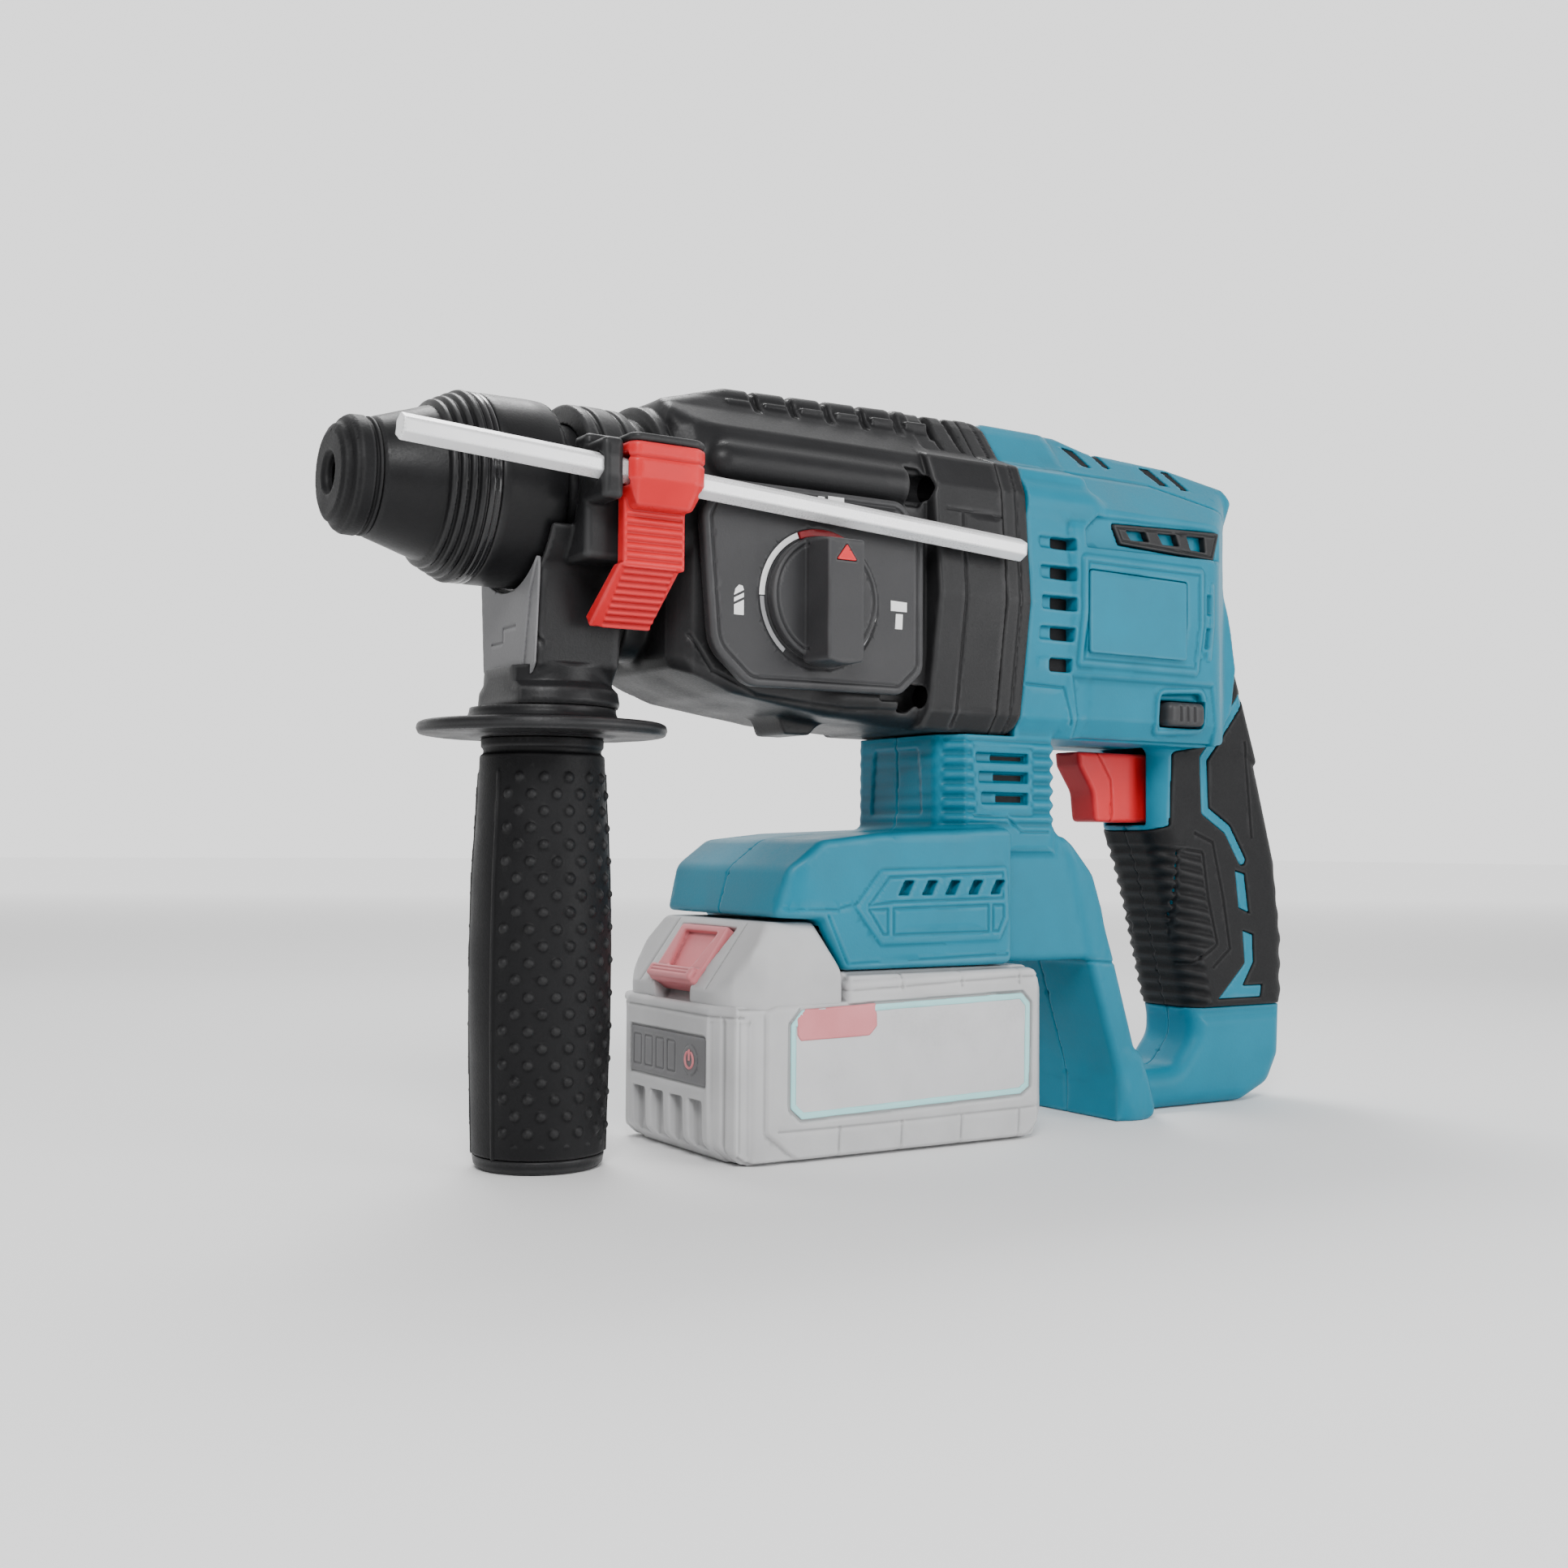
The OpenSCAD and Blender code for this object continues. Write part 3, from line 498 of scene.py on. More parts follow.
f = Field((51.5, -21.5, -57), (55.5, 21.5, -14), 0.25)
d = both(outline(plate, f.y, f.z), span(f.x, 52.5, 54.1), 0.5)
d = cut(d, rod_x(f, 28.4, 48, 66.5), 0.3)
d = cut(d, rod_z(f, 18.7, 65, 0, -58, -50.2), 0.2)
one_side = outline([(-9.5, -57), (-21.5, -57), (-21.5, -18), (-15, -30)], f.y, f.z)
d = cut(d, both(one_side, span(f.x, 52, 53.2)), 0.3)
mark = path([(-6, -38.5), (3, -38.5), (3, -42.5), (11, -42.5)], f.y, f.z) - 0.35
d = d + 0.45 * inside(mark, 0.3) * inside(f.x - 53.2)
solid("clamp_plate_skin", f, d, "grey_plastic", "clamp_unit", ("clamp_plate",))

f = Field((66, -49.5, -43), (93.5, -20, 12.8), 0.3)
knuckle = soft([(67.6, -35.7, 0), (67.6, -45.8), (69.5, -48), (88.5, -48), (92, -45), (92, -35.7, 0)], 3)
knuckle = outline(knuckle, f.x, f.y)
cap = both(knuckle + 0.1, span(f.z, 8.7, 10.9), 0.9)
knuckle = both(knuckle + 0.5 * np.maximum(-1.5 - f.z, 0), span(f.z, -8.6, 8.6), 0.9)
strap = cube(f, (69.5, 88.5), (-39.9, -35.7), (-24.5, -5), 0.6)
foot = outline([(-35.7, -23.5), (-39.9, -23.5), (-24.7, -39.6), (-21.6, -36.6)], f.y, f.z)
foot = both(foot, abs(f.x - 78 + 0.13 * np.maximum(-23.5 - f.z, 0)) - 9.5, 0.6)
d = join(join(knuckle, strap, 0.5), foot, 0.4)
front = inside(f.y + 38.2)
ribs = 0.32 * np.sin((f.z + 24) * 2 * math.pi / 2.35) * inside(span(f.z, -23.6, -9.4), 1)
slope = (f.y + 39.9) * 0.65 - (f.z + 23.5) * 0.76
ribs2 = 0.32 * np.sin(slope * 2 * math.pi / 2.35) * inside(f.z + 24.2, 1) * inside(span(f.x, 70.4, 85.6), 0.6)
lower = inside((f.y + 24.7) * 0.76 + (f.z + 41.4) * 0.65 - 1.6, 0.6)
d = d - ribs * front * inside(span(f.x, 70.4, 87.6), 0.6) - ribs2 * lower
d = d + 0.5 * inside(abs(f.z - 4.4) - 0.4) * inside(f.y + 41)
for z in (-16, 8):
    d = join(d, rod_y(f, 1.45, 80, z, -36, -28.6, 0.3), 0.3)
rod_slot = both(span(f.y, rod_mid[1] - 4.8, rod_mid[1] + 3.8), abs(above_rod(f)) - 4.4, 0.6)
d = cut(d, rod_slot, 0.3)
solid("depth_lever_skin", f, d, "red_plastic", "lever_unit", ("depth_lever",))
solid("lever_cap", f, cap, "black_plastic", "lever_unit")

f = Field((-90, -5, -5), (116, 5, 5), 0.35)
d = both(hexagon(f.y, f.z, 6.4), span(f.x, -88.6, 114.7), 0.5)
d = both(d, hyp(f.y, f.z) - 3.62)
solid("depth_rod_skin", f, d, "bright_steel", "rod_unit", ("depth_rod",), place=rod_place)

# ---- side handle -------------------------------------------------------------------------
f = Field((handle_x - 37.5, -37.5, -71.5), (handle_x + 37.5, 37.5, -60), 0.4)
d = turned_z(f, [(4.4, -70), (20, -70), (22, -69.2), (33, -69.4), (35.3, -69), (36, -67.4), (35.6, -66),
    (34.4, -65.4), (33, -66), (24.5, -65.4), (22, -64.4), (21.2, -63), (21, -61.4), (4.4, -61.4)], handle_x)
solid("handle_guard_skin", f, d, "black_plastic", "handle_unit", ("handle_guard",))

f = Field((handle_x - 21.5, -21.5, -189.5), (handle_x + 21.5, 21.5, -69), 0.4)
d = turned_z(f, [(0, -70.2), (17.6, -70.2), (17.6, -72.6), (16.9, -73.2), (16.9, -74.4), (17.9, -75.2),
    (18.5, -90), (19.6, -110), (20, -130), (19.9, -152), (18.9, -187.9), (0, -187.9)], handle_x)
side_angle = abs(np.degrees(np.arctan2(f.y, f.x - handle_x))) - 90.0
strip = abs(side_angle) - 66.0
d = d - 0.5 * inside(abs(strip) * 0.34 - 0.35, 0.5) * inside(f.z + 80)
cell_w, cell_h = 22.0, 9.4
for k in range(2):
    u = ((side_angle + 66 + k * cell_w / 2) / cell_w) % 1.0 - 0.5
    v = ((f.z + 185 + k * cell_h / 2) / cell_h) % 1.0 - 0.5
    reach = hyp(u * cell_w * 0.338, v * cell_h)
    dome = 1.05 * np.clip(1 - (reach / 1.6) ** 2, 0, 1)
    d = d - dome * inside(strip + 5, 1) * inside(span(f.z, -184, -78.5), 1)
d = cut(d, rod_z(f, 4.3, handle_x, 0, -92, -68))
d = cut(d, rod_z(f, 8.8, handle_x, 0, -84.2, -77.3))
solid("handle_grip_skin", f, d, "black_rubber", "handle_unit", ("handle_grip",))
f = Field((handle_x - 20.5, -20.5, -193), (handle_x + 20.5, 20.5, -187), 0.35)
d = turned_z(f, [(0, -192), (17.2, -192), (18.4, -190.8), (18.8, -188.3), (18.2, -188.1), (0, -188.1)],
    handle_x)
solid("handle_cap_skin", f, d, "black_plastic", "handle_unit", ("handle_cap",))

# ---- mode knob and its marks -------------------------------------------------------------
kx, kz = 136.0, -28.0
mark_r, mark_y = 19.9, -35.75
f = Field((kx - 21, -51, kz - 21), (kx + 21, -25.5, kz + 21), 0.3)
rad = hyp(f.x - kx, f.z - kz)
d = both(rad - 18.4, span(f.y, -39.6, -35.85), 0.8)
d = join(d, rod_y(f, 5.95, kx, kz, -38, -26, 0.4))
bar = both(abs(f.x - kx) - (6.2 + (f.y + 50) * 0.10), span(f.y, -50, -38), 0.5)
bar = both(both(bar, rad - (19.9 + (f.y + 50) * 0.03), 0.8), f.z - kz - 16.2 - (f.y + 50) * 0.1, 0.8)
d = join(d, bar, 0.8)
d = d + 0.4 * inside(abs(rad - 16.8) - 0.35, 0.5) * inside(f.y + 38.4) * inside(-f.y - 41)
pointer = side_shape(f, [(kx - 3.6, kz + 9.8), (kx + 3.6, kz + 9.8), (kx, kz + 14.8)], 0.3)
d = cut(d, both(pointer, f.y + 48.9))
solid("mode_knob_skin", f, d, "panel_plastic", "knob_unit", ("mode_knob",))
f = Field((kx - 5, -51.5, kz + 8.5), (kx + 5, -47, kz + 16), 0.2)
d = both(side_shape(f, [(kx - 3.4, kz + 9.95), (kx + 3.4, kz + 9.95), (kx, kz + 14.5)], 0.3),
    span(f.y, -50.2, -48.8), 0.2)
solid("knob_pointer", f, d, "red_plastic", "knob_unit", ("knob_insert",))
f = Field((kx - 12, -37.5, kz + 16), (kx + 12, -33, kz + 22), 0.2)
d = both(side_outline(f, arc_strip(kx, kz, 19.7, 2.2, 57, 112, 20)), span(f.y, -36.4, -34.5), 0.2)
solid("mode_accent", f, d, "deep_red", "tool", ())

panel = soft([(96.6, -6, 6), (102, 4.6, 5), (166, 4.6, 7), (174.4, -5, 7), (174.4, -47, 6), (166, -54.5, 6),
    (112, -54.5, 8), (100, -44, 12)], 4)
f = Field((94, -37.5, -57), (177, -29.5, 6), 0.35)
edge = side_outline(f, panel)
d = both(edge, span(f.y, -35.6, -31), 1.3)
d = d + 0.5 * inside(abs(edge + 2.6) - 0.35, 0.5) * inside(f.y + 33)
d = d + 0.25 * inside(abs(hyp(f.x - kx, f.z - kz) - 19.7) - 1.3, 0.4) * inside(f.y + 33)
d = cut(d, rod_y(f, 6.1, kx, kz, -40, -28))
solid("mode_panel_skin", f, d, "panel_plastic", "tool", ("mode_panel",))
white = [arc_strip(kx, kz, mark_r, 1.7, 113, 180), arc_strip(kx, kz, mark_r, 1.3, -14, 40, 24)]
grey = [arc_strip(kx, kz, mark_r, 1.3, 181, 232, 24), arc_strip(kx, kz, mark_r, 0.5, -42, -15, 16)]
bullet = moved(108.4, -30.4, [[(-1.6, -4), (-1.6, -1.2), (1.6, 0.4), (1.6, -4)], [(-1.6, -0.4), (-1.6, 0.8),
    (1.6, 2.4), (1.6, 1.2)], [(-1.6, 1.6), (-1.2, 3.4), (0, 4.6), (1.2, 4.4), (1.6, 3.2), (0.6, 2.7)]])
hammer = moved(164.6, -30.2, [[(-2.9, 1.0), (-2.9, 4.1), (3.0, 3.9), (3.0, 1.0)], [(-1.3, -4.4), (-1.0, 0.2),
    (1.5, 0.2), (1.3, -4.4)]])
top_icon = moved(139.0, 1.8, [[(-3.6, -0.9), (-4.4, 0), (-3.6, 0.9), (-1.6, 0.9), (-1.2, 0), (-1.6, -0.9)],
    [(-0.2, -1.4), (-0.2, 1.3), (5.4, 1.3), (5.4, -1.4)]])
prints("mode_marks", white + bullet + hammer + top_icon, mark_y, "print_white", "tool")
prints("mode_ticks", grey, mark_y, "print_grey", "tool")

screws = ((228, 26, 29), (310, 22, 20), (232, -50, 32), (300, -38, 27), (200, -110, 37), (150, -108, 37),
    (340, -178, 14), (282, -184, 14))

# ---- gear case ---------------------------------------------------------------------------
shaft_z, motor_z = -34.0, -11.5
case_side = [(91, 30), (117, 37.8), (216.4, 41), (216.4, -64.6), (180, -64), (146, -61.5), (112, -56),
    (91, -48)]
rear_half = [(-20, 42), (8, 41), (12, 37), (20, 26), (30, 22), (33.7, 12.7), (36.2, -16.6), (36.6, -22),
    (31.5, -58.3), (26.6, -65.1), (-20, -66)]
f = Field((83, -38, -68), (207, 38, 43), 0.45)
Y = abs(f.y)
side = side_shape(f, case_side, 6)
front = both(side, outline(soft([(-20, 42), (11, 42), (14, 34), (18, 29), (27, 22), (31, 14), (31, -40),
    (27, -60), (22, -66), (-20, -66)], 2.5), Y, f.z), 3)
front = both(front, outline([(91, -9), (91, 22), (98, 28), (108, 31.4), (240, 31.4), (240, -9)], f.x, Y), 4)
front = both(front, f.x - 184)
rear = both(side, outline(soft(rear_half, 2), Y, f.z), 1.2)
rear = both(rear, 178.5 + 0.12 * np.maximum(Y - 24, 0) - f.x, 1.2)
d = join(front, rear, 1.0)
nose = turned_x(f, [(84.2, 0), (84.2, 24.5), (85, 25.4), (87.6, 25.6), (88, 27.8), (89, 29.6), (91.4, 29.8),
    (91.8, 29.2), (92.8, 29.2), (93.2, 29.8), (98, 29.8), (108, 27), (108, 0)])
d = join(d, nose, 2.0)
d = join(d, rod_x(f, 12.5, 84.5, 97, shaft_z, e=1), 2)
tube = hyp(np.maximum(span(f.x, 108, 172), 0) * 0.9, hyp(Y - 27.4, f.z - 10.8)) - 6.4
d = join(d, tube, 1.8)
tube = hyp(np.maximum(span(f.x, 150, 172), 0) * 0.6, hyp(Y - 25, f.z + 55.5)) - 5.2
d = join(d, tube, 2.5)
d = join(d, both(side_shape(f, [(138, -58), (141, -66), (150, -66), (156, -60)], 2), Y - 9, 1), 2)
for sy, sz, shape in ((28, 11, [(170.4, 4.6), (170.4, 17), (176.6, 17), (180.6, 11), (176.6, 4.6)]),
        (26, -54, [(169, -49.4), (169, -59), (173.4, -59), (177.4, -54), (173.4, -49.4)])):
    d = cut(d, both(side_shape(f, shape, 1.5), sy - 0.4 - Y, 1.2), 0.8)
    d = cut(d, both(hyp(Y - sy, f.z - sz) - 4.25, span(f.x, 162, 184)), 0.5)
    d = cut(d, both(hyp(Y - sy, f.z - sz) - 2.1, span(f.x, 183, 208)))
for i in range(6):
    x0 = 115.5 + 13.2 * i
    d = d + 1.3 * inside(span(f.x, x0 + 9.2, x0 + 11.8)) * inside(30.5 - f.z, 1.5)
    d = d + 0.7 * inside(span(f.x, x0 + 1.2, x0 + 7.6)) * inside(Y - 8.5) * inside(34 - f.z, 1)
    block_top = f.z - 31.3 - 0.03 * (f.x - 116)
    block = box([abs(f.x - x0 - 4.3) - 4.3 + 1, abs(Y - 13.8) - 2.0 + 1, abs(block_top) - 2.2 + 1], 1)
    d = join(d, block, 0.5)
for x0 in (192, 200.5):
    d = d + 1.3 * inside(abs(f.x - x0 - 0.01 * (Y - 6) ** 2) - 1.0) * inside(27 - f.z, 1.5)
d = d + scored(f, [(184, 4.6), (206, 4.0)], 0.3, 0.5, 30)
d = d + 0.6 * inside(abs(f.x - 190.2) - 0.4, 0.6) * inside(f.z - 4) * inside(28 - Y)
d = d + scored(f, [(97, -40), (104, -50), (120, -56.2), (150, -59), (172, -58.6)], 0.35, 0.5, 22)
for r, x0, x1, z0 in ((19, 66, 78, 0), (14.8, 60, 70, 0), (17, 77, 210, 0), (27.9, 90.2, 101, 0),
        (7, 80, 120, shaft_z), (10.5, 91, 101, shaft_z), (16.4, 118, 210, shaft_z), (20.5, 186, 210,
        shaft_z)):
    d = cut(d, both(hyp(f.y, f.z - z0) - r, span(f.x, x0, x1)))
d = cut(d, cube(f, (143, 177), (-10, 10), (shaft_z, 0)))
d = cut(d, cube(f, (186, 210), (-14, 14), (shaft_z, 0)))
d = cut(d, rod_y(f, 6.4, kx, kz, -40, -25.5))
d = both(d, f.x - 205.95)
solid("gear_case_skin", f, d, "black_plastic", "tool", ("gear_case",))
# painted shade: a rough black ring fills the gap inside the clamp ring, standing in for the shade there
f = Field((60.5, -23, -23), (86.5, 23, 23), 0.4)
d = turned_x(f, [(62, 14.9), (62, 20.6), (63, 21.4), (86, 21.4), (86, 19), (66, 19), (66, 14.9)])
solid("front_gap_shade", f, d, "shadow_black", "tool", ())

f = Field((205, -38.5, -68), (217, 38.5, 43.5), 0.45)
Y = abs(f.y)
d = both(side_shape(f, case_side, 6), outline(soft(rear_half, 2), Y, f.z), 1.2) - 0.25
d = both(d, span(f.x, 206.1, 215.9), 0.6)
d = d + 0.5 * inside(abs(f.x - 211.5) - 0.35, 0.6)
for r, x0, x1, z0 in ((11, 207, 220, motor_z), (5, 200, 208, motor_z), (8, 200, 213, shaft_z)):
    d = cut(d, rod_x(f, r, x0, x1, z0))
for sy, sz in ((28, 11), (26, -54)):
    d = cut(d, both(hyp(Y - sy, f.z - sz) - 2.1, span(f.x, 200, 214)))
solid("gear_case_ring_skin", f, d, "black_plastic", "tool", ("gear_case_ring",))

# ---- motor housing, base and D-handle ----------------------------------------------------
underside, middle_gap = -192.05, 0.04
grip_line = soft([(289.5, -60), (289.8, -93, 4), (296, -108), (301, -124), (306, -143), (311, -161),
    (356, -161), (356.2, -132), (352.6, -104), (343, -71), (333.5, -42), (289.5, -42)], 4)
rubber = soft([(296.5, -92.5, 1), (297.5, -66.5, 2), (313, -63.8, 2), (323.5, -51.5, 1), (326, -36),
    (322, -14), (321, 0), (335, 0), (370, -60), (370, -157.2), (300, -157.2), (290, -140), (280, -97),
    (290, -94.5)], 1)
inlay_a = [(331.5, -46), (312.6, -68.5), (313.4, -87), (324.5, -93.5), (331.8, -104.5)]
inlay_b = [(328.4, -108.4), (333.2, -109.5), (335.4, -123.6), (330.2, -121.8)]
inlay_c = [(332.2, -130.0), (337.4, -131.5), (337.8, -141.6), (332.4, -149.8), (342, -149.8), (341.4, -154.2),
    (320, -154.2), (333.2, -141.8)]
pads = [(300, -100.4), (311.9, -101.7), (314.5, -118), (319.2, -134.7), (308.5, -141), (303, -141)]


def grip_parts(f, Y):
    """The grip's full shape, and how far inside the rubber's outline each point is."""
    full = both(side_outline(f, grip_line), Y - 16.3, 9)
    teal = np.minimum(side_outline(f, inlay_b), side_outline(f, inlay_c))
    teal = np.minimum(side_path(f, inlay_a) - 1.9, teal)
    teal = np.maximum(teal, 9.5 - Y)
    return full, np.maximum(side_outline(f, rubber), -teal)


f = Field((119, -39, -193), (359, 0.6, 43.5), 0.5)
Y = -f.y
motor_line = soft([(216, 41.2), (250, 40.7), (262, 36.4), (298, 34.5), (321, 29.2, 2), (325, 24, 3),
    (320.5, 14), (318.5, 2), (321, -10), (334, -45), (343, -71), (290, -71), (290, -66), (216, -65)], 3)
side = side_outline(f, motor_line)
cross_a = outline(soft(rear_half, 2), Y, f.z)
cross_b = outline(soft([(-20, 42), (7, 41), (11, 36), (20, 26), (33.6, 11.6, 1), (34.2, 8, 1), (36.2, 3),
    (37, -5), (37, -24), (31.5, -58.3), (26.6, -65.1), (-20, -66)], 2), Y, f.z)
plan = outline(soft([(200, -9), (200, 45), (288, 45), (303, 33.5), (319, 20), (347, 17), (347, -9)], 5), f.x,
    Y)
d = join(both(side, both(cross_a, f.x - 247, 5), 1.2), both(side, both(cross_b, 232 - f.x, 4), 1.6), 0.6)
d = both(d, plan, 3)
tube = hyp(np.maximum(span(f.x, 210, 243), 0) * 0.8, hyp(Y - 27.6, f.z - 10.8)) - 7.6
d = join(d, tube, 1.5)
recess = soft([(246, 8.8), (305, 9.8), (306, -1.2), (239.5, -2.4), (239.5, 3.4)], 1)
d = cut(d, both(side_outline(f, recess), 33.2 - Y, 0.8), 0.8)
well = side_shape(f, [(252.6, 7.2), (302.8, 9), (300, -1.5), (256, 0.2)], 1)
d = cut(d, both(well, 31.2 - Y))
badge = side_shape(f, [(237.2, -5.2), (291.5, -5.4), (291.5, -41.4), (237.2, -41.2)], 1.6)
d = d - 0.9 * inside(badge, 1.0) * inside(30 - Y)
d = d + 0.5 * inside(abs(badge + 2.2) - 0.35, 0.5) * inside(30 - Y)
d = cut(d, both(side_shape(f, [(239.6, -9.6), (283.4, -10.4), (283.4, -37.4), (239.6, -37.2)], 1.2),
    36.6 - Y))
for top, low in ((-0.1, -3.9), (-9.6, -13.9), (-19.4, -23.8), (-29.2, -33.5), (-39.1, -43.5)):
    d = cut(d, cube(f, (220.9, 235.2), (-60, -33.8), (low, top), 0.8), 0.6)
    d = cut(d, cube(f, (226.2, 235.2), (-60, -28.6), (low, top), 0.6), 0.3)
for x0, x1, z0, z1 in ((291.5, 299.5, -12.8, -10.4), (291.5, 299.5, -23.6, -21.4), (291.5, 300, -35.6,
        -33.2)):
    rib = side_shape(f, [(x0, z0), (x1, z0), (x1, z1), (x0, z1)], 0.5)
    rib = both(rib, abs(Y - 34.6 + 0.55 * np.maximum(f.x - 291, 0)) - 1.9, 0.7)
    d = join(d, rib, 0.5)
d = d - 0.7 * inside(abs(f.x - 296) - 1.1, 0.8) * inside(span(f.z, -36, -10)) * inside(24 - Y)
for z0 in (-17.2, -28.6):
    d = d + 1.2 * inside(abs(f.x - 294.6) - 0.9) * inside(abs(f.z - z0) - 3.4) * inside(24 - Y)
step = side_outline(f, [(236, -44.5), (300, -44.5), (308, -70), (243, -70)])
d = d + 1.1 * inside(step, 1.2) * inside(24 - Y)
d = d + scored(f, [(217, -48), (233, -48.5), (238, -60)], 0.4, 0.7, 24, 0.6)
oval = side_shape(f, [(275.5, -47.5, 3), (296.5, -46.2, 4), (299, -60.2, 4), (276.5, -61.4, 3)], 3)
d = d - 0.7 * inside(abs(oval) - 0.7, 0.8) * inside(20 - Y)
d = cut(d, both(oval + 1.0, 29.5 - Y, 0.6), 0.5)
for k in range(3):
    slot = abs(f.x - 265 - 15 * k - 0.25 * (f.z - 36)) - 1.3
    d = d + 1.2 * inside(slot) * inside(abs(Y - 8.5) - 2.2) * inside(30 - f.z)
d = d + scored(f, [(217, 24.6), (246, 25.4), (282, 25.2), (316, 16.8)], 0.35, 0.5, 14)
top_cut = side_outline(f, [(264, 33.6), (300, 31.6), (300, 60), (264, 60)])
d = cut(d, both(top_cut, Y - 5.1))

column = outline(soft([(189.6, -9), (189.6, 20.6, 3), (196.6, 28.2, 2), (232.4, 28.2, 2), (232.4, -9)], 2),
    f.x, Y)
column = both(column, span(f.z, -101, -62))
column = cut(column, cube(f, (180, 216), (-60, 60), (-64.7, -40)))
wave = 0.55 * np.cos((f.z + 66) * 2 * math.pi / 4.6) * (0.25 + 0.75 * inside(191.5 - f.x, 1))
near_panel = side_shape(f, [(198.6, -67), (223.6, -68), (223.6, -90.6), (200.4, -90.4)], 1.5)
column = column + wave * inside(span(f.z, -93.5, -66), 2) * (1 - inside(near_panel, 1) * inside(26 - Y))
for top, low, x0 in ((-70.8, -73.2, 200.4), (-76.8, -79.6, 201.6), (-83.4, -86.4, 202.6)):
    column = cut(column, cube(f, (x0, 222), (-60, -26.4), (low - 0.4, top + 0.6), 0.6), 0.5)
    column = cut(column, cube(f, (x0 + 7, 221.6), (-60, -24.9), (low, top), 0.4), 0.2)
column = column + scored(f, [(199.5, -90.6), (213, -91), (219, -95.4), (230, -95.4)], 0.4, 0.6, 26)
pane = outline(soft([(-20, -69), (12, -69), (14, -90), (-20, -90)], 1.5), Y, f.z)
column = column + 0.6 * inside(pane, 1) * inside(f.x - 193)

base_line = soft([(122.4, -121.2, 2), (126.6, -107, 6), (138, -98.6, 7), (158, -96.4, 10), (190, -95),
    (233, -93, 3), (242, -101, 7), (250, -110, 6), (254, -121), (255, -137.2), (146, -137.2), (138, -122)], 3)
plan = outline(soft([(110, -9), (110, 32), (121, 32, 9), (132, 37.5, 8), (262, 37.5), (262, -9)], 6), f.x, Y)
base = both(both(side_outline(f, base_line), plan, 2), Y - 37.5, 4.5)
base = cut(base, both(209 - f.x, 27.2 - Y, 3), 2.5)
arrow = side_shape(f, [(149.0, -118.4), (158.2, -107.6), (206, -106.6), (207, -122.6), (203.4, -129.2),
    (158.2, -129.6)], 1.4)
base = base - 0.9 * inside(arrow, 1.0) * inside(34 - Y)
frame_up = side_outline(f, [(153.6, -118), (161, -109.6), (204.6, -108.4), (204.6, -116.2), (162.2, -117)])
frame_low = side_outline(f, [(162.6, -119), (198.8, -118.4), (198.8, -126.6), (162.6, -126.8)])
point = side_outline(f, [(153.6, -119.2), (160.4, -119.2), (160.4, -126.6), (158.8, -126.6)])
end_five = side_outline(f, [(200.6, -118.4), (204.8, -118.4), (204.8, -122.2), (202.8, -126.4),
    (200.6, -126.4)])
lines = np.minimum(np.minimum(abs(frame_up), abs(frame_low)), np.minimum(abs(point), abs(end_five)))
base = base + 0.7 * inside(lines - 0.35, 0.5) * inside(34 - Y)
for i in range(5):
    x0 = 164.4 + 8.8 * i
    hole = side_outline(f, [(x0, -115), (x0 + 3.8, -115), (x0 + 6.2, -110.6), (x0 + 2.4, -110.6)])
    base = cut(base, both(hole, 33.4 - Y), 0.4)
base = base + scored(f, [(139.5, -121), (146.6, -135.2), (207, -133.8)], 0.4, 0.6, 34)
base = base + scored(f, [(123, -118.6), (142, -119), (206, -104.4)], 0.3, 0.5, 34) * inside(f.x - 150, 1)
base = cut(base, cube(f, (174, 186), (-3, 3), (-97, -90), 0.8))

wall = both(side_shape(f, [(238, -97, 3), (246.5, -126), (250.5, -139.5), (266, -188), (268.6, underside),
    (281, underside), (276.5, -178, 6), (270.4, -168, 5), (260.6, -136.5, 20), (251, -109, 12),
    (242, -99.4, 6)], 4), Y - 27, 2.6)
wall = wall + 0.6 * inside(side_path(f, [(246, -137.6), (262, -138.8)]) - 0.35, 0.5)
link = both(side_shape(f, [(268, underside, 2), (336, underside, 10), (349.5, -186.5, 8), (355.2, -176, 6),
    (356, -158), (311, -158), (311, -167.5, 8), (302, -178, 8), (276, -178, 6), (270, -166, 6), (264, -176)],
    4), Y - 14.5, 6)
gusset = side_outline(f, [(262, underside), (292, underside), (276, -170), (266, -170)])
plan = outline([(262, -9), (262, 26), (272, 26), (292, 12), (292, -9)], f.x, Y)
link = join(link, both(gusset, plan, 2), 3)
full, rub = grip_parts(f, Y)
d = join(d, column, 1.2)
d = join(d, join(join(join(base, column, 3), wall, 3), link, 4), 0.5)
d = join(d, full, 2.5)
d = cut(d, cube(f, (180, 216.02), (-60, 60), (-64.7, 50)))
d = cut(d, np.maximum(rub - 0.1, -(full + 1.4)))
neck = both(side, Y - 16.5, 6)
d = cut(d, np.maximum(side_outline(f, rubber), 0.05 - np.minimum(full, neck)))
motor_room = [(214, 0), (214, 26), (263.5, 26), (263.5, 25.5), (277.1, 25.5), (277.1, 9.5), (284, 9.5),
    (284, 4.6), (286, 4.6), (286, 0)]
d = cut(d, turned_x(f, motor_room, 0, motor_z))
for x, y, z in (((198, 226), (-24, 24), (-96, -60)), ((288, 331), (-10.2, 10.2), (-92.4, -60)),
        ((270, 289), (-7.2, 7.2), (-92.4, -66)), ((138, 208), (-30.5, 30.5), (-131.9, -124)),
        ((130, 208), (-23, 23), (-139, -124)), ((148, 174), (-16, 16), (-125, -118))):
    d = cut(d, cube(f, x, y, z))
d = cut(d, cube(f, (278.6, 298), (-50, 50), (-59.2, -50), 0.8))

